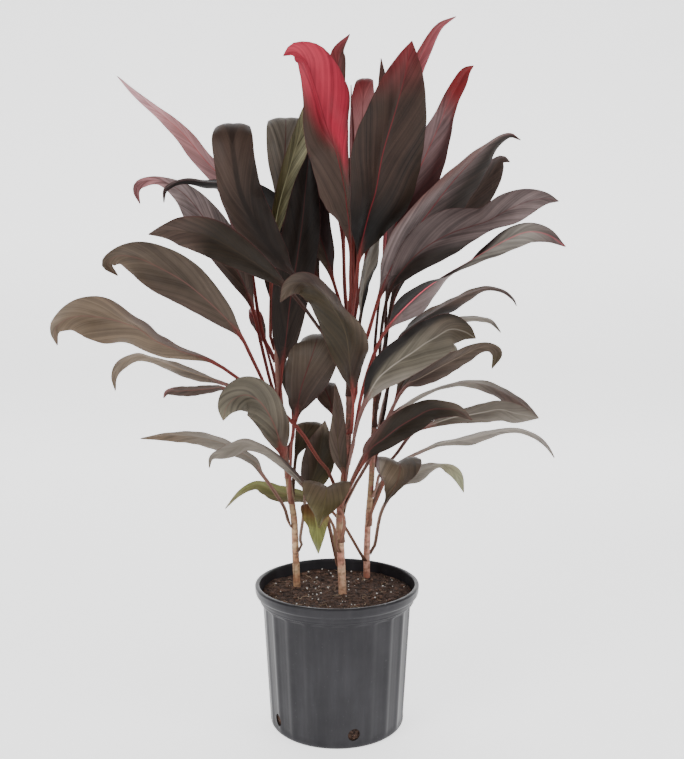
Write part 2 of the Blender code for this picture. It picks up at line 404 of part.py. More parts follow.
leaf("right_green_tip", RIGHT, foot=25,
     stalk=[(6.2, 29, -8.3), (7.2, 34.5, -8.6)],
     blade=[(9.8, 38.6, -9, 0.6, 25), (12.7, 40.5, -9.5, 1.6, 30), (14.7, 41.5, -9.9, 1.4, 50),
            (16.5, 42, -10.1, 1, 70), (18.1, 41.4, -10.3, 1.1, 30), (19.4, 39.9, -10.5, 0.9, 10),
            (20.3, 37.4, -10.5, 0.06, 0)])
leaf("right_grey_green", RIGHT, foot=35,
     stalk=[(7, 40.5, -6.5), (9.5, 43.5, -5), (12, 47, -3.5)],
     blade=[(14.5, 48.2, -2.7, 0.5, 20), (18.3, 49.5, -1.7, 1.1, 20), (20.8, 49.9, -1.3, 1.4, 20),
            (23.4, 50.4, -0.9, 1.7, 20), (25.9, 50.8, -0.5, 1.8, 20), (28.4, 50.2, -0.2, 1.7, 20),
            (30.5, 49.8, 0, 0.9, 20), (32.1, 49.4, 0, 0.06, 20)])
leaf("right_low_droop", RIGHT, foot=24, faces=SKY,
     stalk=[(3.8, 27.2, -6.5), (1, 32, -3.8), (-1.4, 35, -1.2)],
     blade=[(-1.5, 37, 1.8, 0.9, 0), (-1.5, 38.3, 4.8, 3.1, 0), (-1.7, 37.6, 7.5, 3.8, 0),
            (-2.1, 34.9, 9.8, 2.4, 0), (-2.9, 31.6, 10.6, 0.06, 0)])
leaf("back_right", RIGHT, foot=51, faces=SKY,
     stalk=[(7, 58, -11)],
     blade=[(9, 68, -17, 0.5, 0), (12, 76, -23, 3, 0), (15, 81, -29, 3.8, 0), (18, 82, -35, 2.8, 0),
            (20, 80, -40, 0.06, 0)])
leaf("back_right_low", RIGHT, foot=40, faces=SKY,
     stalk=[(7.6, 46, -12)],
     blade=[(9.6, 53, -17, 0.4, 0), (12, 57.5, -22, 2.4, 0), (15, 60.3, -28, 2.8, 0),
            (17.5, 60.4, -33, 1.8, 0), (19, 59, -37, 0.06, 0)])


def clear_scene():
    for obj in list(bpy.data.objects):
        bpy.data.objects.remove(obj, do_unlink=True)


def new_collection(name):
    made = bpy.data.collections.new(name)
    bpy.context.scene.collection.children.link(made)
    return made


def coloured(obj, colour, roughness):
    """Gives the object a plain Principled material of its own."""
    material = bpy.data.materials.new(obj.name)
    material.use_nodes = True
    shader = material.node_tree.nodes["Principled BSDF"]
    shader.inputs["Base Color"].default_value = (*colour, 1)
    shader.inputs["Roughness"].default_value = roughness
    shader.inputs["Metallic"].default_value = 0
    material.diffuse_color = (*colour, 1)
    obj.data.materials.clear()
    obj.data.materials.append(material)


def mesh_object(name, points, faces, collection):
    """An object from points and triangles, with its faces turned outward."""
    corners = np.array(points)[np.array(faces)]
    volume = np.einsum("ij,ij->i", corners[:, 0], np.cross(corners[:, 1], corners[:, 2])).sum()
    if volume < 0:
        faces = [face[::-1] for face in faces]
    mesh = bpy.data.meshes.new(name)
    mesh.from_pydata([tuple(map(float, p)) for p in points], [], faces)
    obj = bpy.data.objects.new(name, mesh)
    collection.objects.link(obj)
    return obj


def applied(obj):
    """Replaces the object's mesh by what its modifiers make of it."""
    bpy.context.view_layer.update()
    graph = bpy.context.evaluated_depsgraph_get()
    mesh = bpy.data.meshes.new_from_object(obj.evaluated_get(graph))
    obj.modifiers.clear()
    obj.data = mesh
    return obj


def turned(name, profile, steps, collection):
    """A turned solid from an (r, z) profile that starts and ends on the axis."""
    mesh = bpy.data.meshes.new(name)
    points = [(r, 0, z) for r, z in profile]
    mesh.from_pydata(points, [(i, i + 1) for i in range(len(points) - 1)], [])
    obj = bpy.data.objects.new(name, mesh)
    collection.objects.link(obj)
    screw = obj.modifiers.new("Turn", "SCREW")
    screw.steps = steps
    screw.render_steps = steps
    screw.use_merge_vertices = True
    screw.merge_threshold = 0.0001
    screw.use_smooth_shade = False
    return applied(obj)


def cut(obj, cutter):
    boolean = obj.modifiers.new("Cut " + cutter.name, "BOOLEAN")
    boolean.operation = "DIFFERENCE"
    boolean.solver = "EXACT"
    boolean.object = cutter


def as_cutter(obj):
    obj.hide_render = True
    obj.display_type = "WIRE"
    return obj


def wall_radius(z):
    """The pot wall's outer radius under the band."""
    return WALL_FOOT_RADIUS + (WALL_TOP_RADIUS - WALL_FOOT_RADIUS) * z / BAND_FOOT_HEIGHT


def flute_inset(angle, z):
    """How far the wall is pressed in at this angle and height: nothing on a ridge, all in a flute."""
    phase = ((angle - FLUTE_TURN) * FLUTES / (2 * math.pi)) % 1
    across = min(1, 3 * min(phase, 1 - phase))
    low = min(1, max(0, (z - FLUTE_FOOT) / FLUTE_FADE))
    high = min(1, max(0, (WALL_TOP - z) / FLUTE_FADE))
    return FLUTE_DEPTH * across * low * high


def press_flutes(obj):
    """Presses the flutes into both sides of the wall."""
    for vertex in obj.data.vertices:
        x, y, z = vertex.co
        # angle 0 looks at the viewer, and the angle grows to the right
        inset = flute_inset(math.atan2(x, -y), z)
        if inset > 0:
            shrink = 1 - inset / math.hypot(x, y)
            vertex.co.x = x * shrink
            vertex.co.y = y * shrink


def inner_radius(z):
    return wall_radius(z) - POT_WALL


def pot_profile():
    """Inside from the middle of the floor up, over the rim, down the outer side and under the foot."""
    inside = [(0, POT_WALL), (inner_radius(0) - FOOT_ROUNDING, POT_WALL)]
    inside += [(inner_radius(z), z) for z in reversed(WALL_RINGS)]
    inside += [(inner_radius(WALL_TOP), WALL_TOP), (BAND_FOOT_RADIUS - POT_WALL, SHOULDER)]
    rim_foot = POT_HEIGHT - RIM_DEPTH
    inside += [(BAND_TOP_RADIUS - POT_WALL, rim_foot)]
    rim = [(BAND_TOP_RADIUS - RIM_EASE, POT_HEIGHT - 2 * RIM_EASE), (BAND_TOP_RADIUS + RIM_EASE, POT_HEIGHT),
           (RIM_RADIUS - RIM_EASE, POT_HEIGHT - RIM_EASE), (RIM_RADIUS, POT_HEIGHT - 4 * RIM_EASE),
           (RIM_RADIUS - RIM_EASE, rim_foot)]
    outside = [(BAND_TOP_RADIUS, rim_foot - RIM_EASE), (BAND_FOOT_RADIUS, BAND_FOOT_HEIGHT),
               (BAND_FOOT_RADIUS - BAND_EASE, BAND_FOOT_HEIGHT - BAND_EASE),
               (wall_radius(WALL_TOP - RIM_EASE), WALL_TOP - RIM_EASE)]
    outside += [(wall_radius(z), z) for z in WALL_RINGS]
    outside += [(wall_radius(FOOT_BEVEL), FOOT_BEVEL), (POT_FOOT_RADIUS, 0), (0, 0)]
    return inside + rim + outside


def make_pot(collection, cutters):
    pot = turned("pot", pot_profile(), FLUTES * STEPS_PER_FLUTE, collection)
    turn_to_flutes(pot)
    press_flutes(pot)
    for i in range(DRAIN_HOLES):
        angle = DRAIN_TURN + i * 2 * math.pi / DRAIN_HOLES
        reach = wall_radius(DRAIN_HEIGHT)
        bpy.ops.mesh.primitive_cylinder_add(
            vertices=DRAIN_SIDES, radius=DRAIN_RADIUS, depth=DRAIN_CUT,
            location=(reach * math.sin(angle), -reach * math.cos(angle), DRAIN_HEIGHT),
            rotation=(math.pi / 2, 0, angle))
        cutter = bpy.context.object
        cutter.name = f"drain_hole_{i + 1}"
        for other in list(cutter.users_collection):
            other.objects.unlink(cutter)
        cutters.objects.link(cutter)
        cut(pot, as_cutter(cutter))
    coloured(pot, (0.045, 0.050, 0.056), 0.42)
    return pot


def turn_to_flutes(obj):
    """Turns a screwed solid so that its steps fall on the ridges and on the flutes' edges."""
    # the profile stands at +X, 90 degrees to the viewer's right
    step = 2 * math.pi / (FLUTES * STEPS_PER_FLUTE)
    turn = (FLUTE_TURN - math.pi / 2) % step
    c, s = math.cos(turn), math.sin(turn)
    for vertex in obj.data.vertices:
        x, y, _ = vertex.co
        vertex.co.x = x * c - y * s
        vertex.co.y = x * s + y * c


def soil_profile():
    """From the middle of the soil's top out to the pot, down inside the flutes and in under the soil."""
    edge = BAND_FOOT_RADIUS - POT_WALL - 2 * GAP
    side_top = SOIL_LEVEL - SOIL_EDGE_DROP
    lean = (BAND_TOP_RADIUS - BAND_FOOT_RADIUS) / (POT_HEIGHT - RIM_DEPTH - SHOULDER)
    top_radius = edge + lean * (side_top - SHOULDER) - GAP
    inset = FLUTE_DEPTH + 2 * GAP
    low = WALL_RINGS[-1]
    top = [(top_radius * k / SOIL_RINGS, SOIL_LEVEL) for k in range(SOIL_RINGS)]
    side = [(top_radius, side_top), (edge, SHOULDER + GAP), (inner_radius(WALL_TOP) - inset, WALL_TOP + GAP)]
    side += [(inner_radius(low) - inset, low)]
    foot = [(inner_radius(0) - FOOT_ROUNDING - inset, POT_WALL + GAP), (0, POT_WALL + GAP)]
    return top + side + foot


def make_soil(collection, cutters):
    soil = turned("soil", soil_profile(), SOIL_STEPS, collection)
    draw = random.Random("soil")
    bumps = [(draw.uniform(*SOIL_BUMP_PITCH), draw.uniform(*SOIL_BUMP_PITCH),
              draw.uniform(0, 2 * math.pi), draw.uniform(0, 2 * math.pi)) for _ in range(SOIL_BUMPS)]
    for vertex in soil.data.vertices:
        x, y, z = vertex.co
        if z > SOIL_LEVEL - SOIL_EDGE_DROP / 2:
            height = sum(math.sin(a * x + c) * math.cos(b * y + d) for a, b, c, d in bumps) / 3
            grain = draw.uniform(-0.4, 0.4)
            vertex.co.z = SOIL_LEVEL + SOIL_ROUGHNESS * max(-1.2, min(1.2, height + grain))
    for cane in CANES:
        hole = make_cane(cane, cutters, CANE_HOLE_PLAY)
        hole.name = cane.name + "_hole"
        cut(soil, as_cutter(hole))
    coloured(soil, (0.035, 0.022, 0.015), 0.95)
    return soil


def make_cane(cane, collection, play=0.0):
    """The cane as a tapered tube, or the hole that it stands in when play is given."""
    curve = bpy.data.curves.new(cane.name, "CURVE")
    curve.dimensions = "3D"
    curve.bevel_depth = 1
    curve.bevel_resolution = 2
    curve.use_fill_caps = True
    spline = curve.splines.new("POLY")
    spline.points.add(CANE_RINGS - 1)
    shares = np.linspace(0, 1, CANE_RINGS)
    centres = smooth_route(cane.route, shares)[0]
    if play:
        centres[0] -= play * unit(centres[1] - centres[0])
    for point, centre, share in zip(spline.points, centres, shares):
        point.co = (*centre, 1)
        point.radius = cane.foot_radius + (cane.top_radius - cane.foot_radius) * share + play
    tube = bpy.data.objects.new(cane.name, curve)
    collection.objects.link(tube)
    bpy.context.view_layer.update()
    graph = bpy.context.evaluated_depsgraph_get()
    mesh = bpy.data.meshes.new_from_object(tube.evaluated_get(graph))
    bpy.data.objects.remove(tube, do_unlink=True)
    form = bmesh.new()
    form.from_mesh(mesh)
    bmesh.ops.remove_doubles(form, verts=form.verts, dist=0.00001)
    bmesh.ops.recalc_face_normals(form, faces=form.faces)
    form.to_mesh(mesh)
    form.free()
    obj = bpy.data.objects.new(cane.name, mesh)
    collection.objects.link(obj)
    coloured(obj, (0.36, 0.24, 0.13), 0.7)
    return obj


def leaf_path(one, stalk_shares, blade_shares):
    """Points, tangents, upward normals and half widths along a leaf, with how far each is into the blade."""
    foot_axis, foot_radius = one["cane"].at(one["foot"] * CM)
    route = [sight(*row[:3]) for row in one["stalk"] + one["blade"]]
    outward = route[0] - foot_axis
    outward[2] = 0
    outward = unit(outward)
    # the flats of the eight-sided cane are nearer to its axis than its corners
    clasp = (foot_radius + GAP) / math.cos(math.radians(25))
    foot = foot_axis + outward * (clasp + CLASP_THICKNESS / 2)
    rise = foot + outward * CLASP_SPREAD + np.array([0, 0, CLASP_RISE])

    def facing(point, tangent):
        if one["faces"] == OVER:
            aside = unit(np.array([1.0, 0, 0]) - tangent * tangent[0])
            return np.cross(aside, tangent), aside
        toward = np.array([0, 0, 1.0]) if one["faces"] == SKY else unit(EYE - point)
        ahead = unit(toward - tangent * np.dot(toward, tangent))
        return ahead, np.cross(tangent, ahead)

    first_tangent = unit(np.array([outward[0] * 0.3, outward[1] * 0.3, 1.0]))
    ahead, aside = facing(foot, first_tangent)
    blade_turn = one["blade"][0][4]
    foot_turn = math.degrees(math.atan2(np.dot(-outward, aside), np.dot(-outward, ahead)))
    foot_turn = blade_turn + (foot_turn - blade_turn + 180) % 360 - 180
    turns = np.linspace(foot_turn, blade_turn, len(one["stalk"]) + 3)
    rows = [[*foot, turns[0], STALK_FOOT_HALF_WIDTH], [*rise, turns[1], STALK_FOOT_HALF_WIDTH]]
    for i in range(len(one["stalk"])):
        rows.append([*route[i], turns[2 + i], STALK_HALF_WIDTH])
    for point, row in zip(route[len(one["stalk"]):], one["blade"]):
        rows.append([*point, row[4], row[3] * CM])
    knots = smooth_route(rows, [0, 1])[1]
    neck = knots[2 + len(one["stalk"])]
    shares = np.concatenate([neck * np.asarray(stalk_shares), neck + (1 - neck) * np.asarray(blade_shares)])
    samples = smooth_route(rows, shares)[0]
    after = smooth_route(rows, np.clip(shares + ALONG_STEP, 0, 1))[0]
    before = smooth_route(rows, np.clip(shares - ALONG_STEP, 0, 1))[0]
    tangents = [unit(b[:3] - a[:3]) for a, b in zip(before, after)]
    tangents[0] = first_tangent
    normals = []
    for sample, tangent in zip(samples, tangents):
        ahead, aside = facing(sample[:3], tangent)
        turn = math.radians(sample[3])
        normals.append(ahead * math.cos(turn) + aside * math.sin(turn))
    into_blade = np.clip((shares - neck) / (1 - neck), 0, 1)
    half_widths = np.maximum(samples[:, 4], TIP_HALF_WIDTH)
    return samples[:, :3], tangents, normals, half_widths, into_blade, (foot_axis, outward, clasp)


def clasp_ring(foot_axis, outward, clasp):
    """The leaf's foot: an arc round the cane, inner side first, in the order of the other rings."""
    right = np.cross(np.array([0, 0, 1.0]), -outward)
    inner, outer = [], []
    for angle in (-CLASP_ARC, 0, CLASP_ARC):
        direction = outward * math.cos(angle) + right * math.sin(angle)
        inner.append(foot_axis + direction * clasp)
        outer.append(foot_axis + direction * (clasp + CLASP_THICKNESS))
    return inner + outer[::-1]


def blade_ring(centre, tangent, normal, half_width, into_blade, fold, lifts):
    """Six points: left edge, rib and right edge above, then right edge, rib and left edge below."""
    right = np.cross(tangent, normal)
    mix = min(1, into_blade / BLADE_START)
    # a narrow tip is nearly flat
    angle = STALK_FOLD * (1 - mix) + fold * mix * min(1, half_width / FLAT_TIP)
    rib = STALK_THICKNESS * (1 - mix) + RIB_THICKNESS * mix
    c, s = math.cos(angle), math.sin(angle)
    left_edge = centre + half_width * (s * normal - c * right) + lifts[0] * normal
    right_edge = centre + half_width * (s * normal + c * right) + lifts[1] * normal
    left_up = (c * normal + s * right) * EDGE_THICKNESS / 2
    right_up = (c * normal - s * right) * EDGE_THICKNESS / 2
    return [left_edge + left_up, centre + 0.35 * rib * normal, right_edge + right_up,
            right_edge - right_up, centre - 0.65 * rib * normal, left_edge - left_up]


def leaf_rings(one):
    blade_shares = np.linspace(0, 1, BLADE_STATIONS)
    points, tangents, normals, half_widths, into, foot = leaf_path(one, STALK_SHARES, blade_shares)
    draw = random.Random(one["name"])
    phases = draw.uniform(0, 2 * math.pi), draw.uniform(0, 2 * math.pi)
    rings = [clasp_ring(*foot)]
    for i in range(1, len(points)):
        b = into[i]
        swell = WAVE_HEIGHT * min(1, half_widths[i] / WAVE_FULL_WIDTH) * min(1, 4 * b) * min(1, 4 * (1 - b))
        lifts = [swell * math.sin(2 * math.pi * WAVES * b + phase) for phase in phases]
        rings.append(blade_ring(points[i], tangents[i], normals[i], half_widths[i], b, one["fold"], lifts))
    return rings


def ring_faces(count):
    """Triangles between rings of six points. Both faces of the blade take the same diagonals."""
    faces = [(0, 5, 4), (0, 4, 1), (1, 4, 3), (1, 3, 2)]
    for i in range(count - 1):
        for k in range(6):
            a, b = 6 * i + k, 6 * i + (k + 1) % 6
            c, d = b + 6, a + 6
            if k in (1, 4):
                faces += [(a, b, d), (b, c, d)]
            else:
                faces += [(a, b, c), (a, c, d)]
    e = 6 * (count - 1)
    faces += [(e, e + 1, e + 4), (e, e + 4, e + 5), (e + 1, e + 2, e + 3), (e + 1, e + 3, e + 4)]
    return faces


def leaf_colour(one):
    """Young leaves at the top are red, grown ones brown-purple, and the lowest turn green."""
    height = one["blade"][len(one["blade"]) // 2][1]
    if one["name"] in ("leaf_top_red", "leaf_top_small_red", "leaf_right_red_tip", "leaf_left_pink"):
        return (0.35, 0.03, 0.05)
    if height < 42:
        return (0.07, 0.08, 0.035)
    return (0.065, 0.038, 0.036)


def make_leaf(one, collection):
    rings = leaf_rings(one)
    points = [p for ring in rings for p in ring]
    obj = mesh_object(one["name"], points, ring_faces(len(rings)), collection)
    coloured(obj, leaf_colour(one), 0.45)
    return obj


def main():
    clear_scene()
    plant = new_collection("ti_plant")
    cutters = new_collection("cutters")
    make_pot(plant, cutters)
    make_soil(plant, cutters)
    for cane in CANES:
        make_cane(cane, plant)
    for one in LEAVES:
        make_leaf(one, plant)


main()
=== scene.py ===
"""The looks of a ti plant (Cordyline fruticosa) in its nursery pot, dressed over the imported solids.

Metres, +Z up. The origin is the middle of the pot's foot, and the plant is seen from -Y.
"""
import math
import random

import bpy
import bmesh
import numpy as np
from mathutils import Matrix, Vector, noise


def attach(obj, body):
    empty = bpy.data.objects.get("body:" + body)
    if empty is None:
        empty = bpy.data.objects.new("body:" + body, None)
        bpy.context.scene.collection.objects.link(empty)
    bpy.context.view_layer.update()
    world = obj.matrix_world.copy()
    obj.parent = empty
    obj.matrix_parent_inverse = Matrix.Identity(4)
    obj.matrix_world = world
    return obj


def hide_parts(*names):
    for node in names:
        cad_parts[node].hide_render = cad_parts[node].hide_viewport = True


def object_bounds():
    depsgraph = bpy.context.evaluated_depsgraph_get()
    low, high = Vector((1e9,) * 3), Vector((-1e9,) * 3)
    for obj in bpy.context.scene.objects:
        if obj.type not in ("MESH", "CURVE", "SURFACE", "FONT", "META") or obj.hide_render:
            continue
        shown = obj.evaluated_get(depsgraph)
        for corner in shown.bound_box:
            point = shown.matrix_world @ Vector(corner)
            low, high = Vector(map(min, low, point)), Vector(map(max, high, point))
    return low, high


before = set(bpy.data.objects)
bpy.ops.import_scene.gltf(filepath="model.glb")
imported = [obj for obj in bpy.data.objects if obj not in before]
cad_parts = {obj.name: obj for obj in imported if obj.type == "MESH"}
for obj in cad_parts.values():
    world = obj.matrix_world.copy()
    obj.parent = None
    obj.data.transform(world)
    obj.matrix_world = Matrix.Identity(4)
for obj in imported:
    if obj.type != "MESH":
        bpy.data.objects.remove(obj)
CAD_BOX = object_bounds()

CM = 0.01
GAP = 0.0003  # between pieces that touch

# Pot, blow-moulded, as its outer side
POT_HEIGHT = 0.228
RIM_RADIUS = 0.132
RIM_DEPTH = 0.015
BAND_TOP_RADIUS = 0.1268
BAND_FOOT_RADIUS = 0.1242
BAND_FOOT_HEIGHT = 0.2025
WALL_TOP_RADIUS = 0.1198
WALL_FOOT_RADIUS = 0.1080
FOOT_ROUNDING = 0.006
POT_WALL = 0.002
WALL_TOP = 0.199
SHOULDER = 0.204  # where the inside steps out behind the band
LIP_FOOT = POT_HEIGHT - RIM_DEPTH
FLUTES_TOP = WALL_TOP + 0.0015
FLOOR_RINGS = (0.04, 0.08)  # radii of the rings of points across the floor
# the lip's outer side, as how far it draws in and how deep under the rim
LIP_SIDE = ((0.0003, 0.0075), (0.0009, 0.0125), (0.0018, 0.0147))
FLUTES = 22
FLUTE_DEPTH = 0.0018
FLUTE_POINTS = 18  # points round the pot for each flute
FLUTE_TURN = math.radians(-5.5)  # the ridge that is nearest to the front
DRAIN_HOLES = 5
DRAIN_RADIUS = 0.0095
DRAIN_HEIGHT = 0.023
DRAIN_TURN = math.radians(14)

# Soil
SOIL_LEVEL = 0.210
SOIL_ROUGHNESS = 0.0035
SOIL_LUMPS = 0.0018
SOIL_WAVES = 6
SOIL_WAVE_PACES = (14, 60)  # least and most, in radians for each metre
SOIL_DENTS = 0.0012  # in the side that lies against the pot
SOIL_RINGS = 70
SOIL_STEPS = 220  # points round a ring
BARK_CHIPS = 420
BARK_SIZES = (0.0016, 0.0042)
PERLITE_LUMPS = 95
PERLITE_SIZES = (0.0006, 0.0019)
LUMP_SINK = 0.35  # how far a chip or a lump is sunk into the soil
ROOTLETS = 70
ROOTLET_STEP = 0.0026
ROOTLET_SIDES = 4
ROOTLET_RADII = (0.0003, 0.00055)

# Canes
CANE_RINGS = 170
CANE_SIDES = 24
FIRST_SCAR = 0.004  # from the cane's foot
SCAR_STEPS = (0.006, 0.011)  # least and most between one ring scar and the next
SCAR_SLANT = 0.0022
SCAR_HALF_WIDTH = 0.0011
SCAR_RISE = 0.00042
SCAR_REACH = 0.006  # how far along the cane a scar is looked for
BARK_SHARE = 0.965  # of a cane's radius, which leaves room for the scars
BARK_GRAIN = 0.00016

# Leaves, in metres
STALK_HALF_WIDTH = 0.0038
STALK_FOOT_HALF_WIDTH = 0.0045
STALK_FOLD = math.radians(42)
STALK_THICKNESS = 0.0024
RIB_THICKNESS = 0.0011
EDGE_THICKNESS = 0.0005
STALK_EDGE = 0.0008
TIP_HALF_WIDTH = 0.0006
FLAT_TIP = 0.004
CLASP_THICKNESS = 0.0012
CLASP_ARC = math.radians(50)
CLASP_RISE = 0.012
CLASP_SPREAD = 0.0055
WAVE_HEIGHT = 0.002
WAVES = 2.2
RIPPLE_HEIGHT = 0.0007
WAVE_FULL_WIDTH = 0.02  # half a blade that waves in full
BLADE_START = 0.12  # share of the blade over which it opens from the stalk
ALONG_STEP = 0.004  # share of a leaf's length between the points that give its direction
BOW = 0.10  # how far each half of a blade bows up, as a share of its width

# Every route point is written as a viewer in front of the plant sees it: cm to the right of the pot's
# middle and cm above the floor, both measured on the upright plane through the pot's middle, then
# how many cm the point lies nearer to the viewer than that plane.
EYE = np.array([0.008, -1.40, 0.682])
CAMERA_PITCH = 0.090  # downward, in radians
CAMERA_LENS = 888 * 36 / 759  # a focal length of 888 pixels on a picture 759 pixels high


def sight(across, up, nearer):
    """The point in space that a viewer at EYE sees at (across, up) on the plane y = 0."""
    on_plane = np.array([across * CM, 0.0, up * CM])
    return EYE + (on_plane - EYE) * (-nearer * CM - EYE[1]) / -EYE[1]


def unit(v):
    return v / np.linalg.norm(v)


def smooth_route(rows, shares):
    """A Catmull-Rom curve through the rows: its samples at the shares of its length, and each row's share."""
    rows = np.array(rows, float)
    rows = np.vstack([2 * rows[0] - rows[1], rows, 2 * rows[-1] - rows[-2]])
    steps = 24
    fine = []
    for i in range(len(rows) - 3):
        a, b, c, d = rows[i:i + 4]
        for t in np.arange(steps) / steps:
            line = 2 * b + (c - a) * t
            bend = (2 * a - 5 * b + 4 * c - d) * t**2 + (3 * b - 3 * c + d - a) * t**3
            fine.append(0.5 * (line + bend))
    fine.append(rows[-2])
    fine = np.array(fine)
    legs = np.linalg.norm(np.diff(fine[:, :3], axis=0), axis=1)
    run = np.concatenate([[0], np.cumsum(legs)])
    at = np.asarray(shares) * run[-1]
    samples = np.stack([np.interp(at, run, fine[:, k]) for k in range(fine.shape[1])], axis=1)
    return samples, run[::steps] / run[-1]


class Cane:
    """A bare stem with leaf scars, tapering from foot_radius to top_radius."""

    def __init__(self, name, foot_radius, top_radius, route):
        self.name = name
        self.foot_radius = foot_radius
        self.top_radius = top_radius
        self.route = [sight(*row) for row in route]
        self.axis = smooth_route(self.route, np.linspace(0, 1, 60))[0]

    def at(self, height):
        """The axis point at a height in metres, and the radius there."""
        shares = np.linspace(0, 1, len(self.axis))
        share = np.interp(height, self.axis[:, 2], shares)
        point = np.array([np.interp(share, shares, self.axis[:, k]) for k in range(3)])
        return point, self.foot_radius + (self.top_radius - self.foot_radius) * share


LEFT = Cane("cane_left", 0.0062, 0.0045,
            [(-6.5, 15, -3), (-6.5, 22, -3), (-6.7, 28, -3), (-6.9, 33, -3), (-7.6, 38, -3),
             (-8.3, 44, -3), (-8.8, 50, -3), (-9.3, 56, -3), (-9.6, 64, -3)])
MIDDLE = Cane("cane_middle", 0.0068, 0.0045,
              [(1.1, 14, 0.6), (0.9, 20.8, 0.6), (0.6, 28, 0.6), (0.4, 33, 0.6), (0.9, 38, 0.6),
               (1.6, 44, 0.6), (1.9, 50, 0.6), (1.9, 58, 0.6), (2.1, 68, 0.6)])
RIGHT = Cane("cane_right", 0.0060, 0.0045,
             [(4.8, 16, -7.8), (4.8, 23.5, -7.8), (4.8, 28, -7.8), (5, 33, -7.7), (5.4, 38, -7.5),
              (5.7, 44, -7.2), (6, 50, -7), (6.4, 58, -7)])
CANES = (LEFT, MIDDLE, RIGHT)

# How a blade's turn about its rib is measured
VIEWER = "viewer"  # 0 degrees: the upper face looks at the viewer
SKY = "sky"  # 0 degrees: the upper face looks up
OVER = "over"  # 0 degrees: the right half points to the viewer's right, on a blade that arches away
LEAVES = []


def leaf(name, cane, foot, stalk, blade, fold=14, faces=VIEWER):
    """Notes one leaf. foot is its height on the cane in cm, stalk holds route points, and each blade row
    is a route point, the half width there in cm and the blade's turn about its rib in degrees. A row
    without a turn keeps the one before, and the first starts from 0. fold is how far each half is folded
    up from flat, in degrees."""
    rows, turn = [], 0
    for across, up, nearer, half_width, *new_turn in blade:
        turn = new_turn[0] if new_turn else turn
        rows.append((across, up, nearer, half_width, turn))
    LEAVES.append(dict(name="leaf_" + name, cane=cane, foot=foot, stalk=stalk, blade=rows,
                       fold=math.radians(fold), faces=faces))


# the leaves of the left cane
leaf("left_pink", LEFT, 58, [(-11.5, 62, -5.5), (-12.5, 67, -8.5)],
     [(-13.2, 72.5, -11, 0.4, -30), (-15, 79.5, -13.6, 1.6, -40), (-17.3, 86, -15.6, 2.1),
      (-20.6, 90, -17, 2.1), (-24, 94, -17.8, 1.7), (-27.5, 97, -18, 1.2), (-31, 99.8, -18, 0.7),
      (-33.7, 102.3, -18, 0.06)])
leaf("left_grey_arch", LEFT, 52, [(-10.6, 55, -4), (-12, 61, -5.5)],
     [(-13.2, 66.5, -7, 0.4, 10), (-15, 71.5, -8.5, 2, 0), (-17.8, 76.5, -10, 3),
      (-20.8, 81, -11.5, 2.9, -10), (-23.8, 84.6, -12.5, 2, -20), (-27.5, 86.6, -13, 0.9, -30),
      (-30.4, 86.2, -13, 0.9), (-31.2, 84.9, -13, 0.6, -20), (-30.6, 83, -13, 0.06)])
leaf("left_olive_folded", LEFT, 60, [(-10.6, 63, -3.5), (-10.4, 70, -4)],
     [(-10.1, 76, -4.5, 0.5, 15), (-9.2, 82, -5, 1.6), (-7.5, 88, -6, 2.1), (-5.9, 93, -7, 2),
      (-4.5, 97.5, -8, 1.2), (-3.3, 101, -8.5, 0.06)], fold=40)
leaf("left_blunt", LEFT, 61.5, [(-10, 66, -6), (-9.5, 72, -8.5)],
     [(-8.7, 78.5, -11, 0.4), (-8.3, 84.5, -12.5, 1.5), (-8.1, 89.5, -13.5, 2.9), (-7.9, 93.5, -15, 3.4),
      (-7.9, 95.9, -18, 3.2), (-8.1, 95.4, -22, 2.3), (-8.2, 92.4, -25, 0.06)], fold=-10, faces=OVER)
leaf("left_inner", LEFT, 48, [(-9.2, 52, -2.2)],
     [(-8.6, 57.5, -2.3, 0.4, -20), (-8, 62, -2.3, 2.2, -15), (-7.3, 68, -2.4, 3, -10),
      (-6.3, 74, -2.8, 3.2, 0), (-5.4, 80, -3.5, 3), (-4.8, 86, -4.2, 1.9), (-4.3, 91, -5, 0.06)])
leaf("left_brown_broad", LEFT, 46, [(-10.7, 52.5, -2.5), (-13.6, 59.2, -1.5)],
     [(-15.2, 62.6, -1, 0.5, -15), (-18, 65.8, 0, 1.9, -10), (-21, 68.6, 1, 2.9), (-24, 71, 2, 3.5, -8),
      (-27.5, 73, 3, 3.6), (-31, 74.6, 3.5, 2.8, -10), (-34.2, 75, 3, 1.4, -20), (-36, 73.6, 2.5, 1, -30),
      (-34.3, 71.9, 2, 0.06)])
leaf("left_thin_arch", LEFT, 44.5, [(-10.4, 48.5, -4), (-13.7, 53, -5)],
     [(-18.4, 55.3, -6, 0.6, -50), (-21.7, 56.3, -6.5, 1.3), (-25.3, 57.5, -7, 1.5),
      (-28.8, 58.8, -7.5, 1, -55), (-31.5, 59.3, -8, 1, -45), (-34.2, 57.9, -8, 1, -30),
      (-35.3, 56, -8, 0.6), (-35.1, 53.8, -8, 0.06)])
leaf("left_small_red", LEFT, 41, [(-9.7, 46.5, -7), (-13.2, 51.5, -10)],
     [(-17.5, 54.2, -12, 0.5, -40), (-20.5, 54.1, -12.8, 1), (-24.4, 53.8, -13.4, 1.1, -35),
      (-26.8, 53.6, -13.6, 0.6, -30), (-27.5, 52.6, -13.6, 0.06)])
leaf("left_front_droop", LEFT, 39.2, [(-8.7, 42.6, 0.5)],
     [(-9, 45, 1.4, 1.2), (-9.7, 47.6, 3.6, 2.2), (-10.8, 50, 5.4, 2.6), (-12.3, 52.1, 7, 2.9),
      (-14.3, 53.1, 8.6, 2.9), (-16.3, 52.5, 9.8, 2.3), (-17.6, 51, 10.3, 1.4), (-18.1, 49, 10.3, 0.06)])
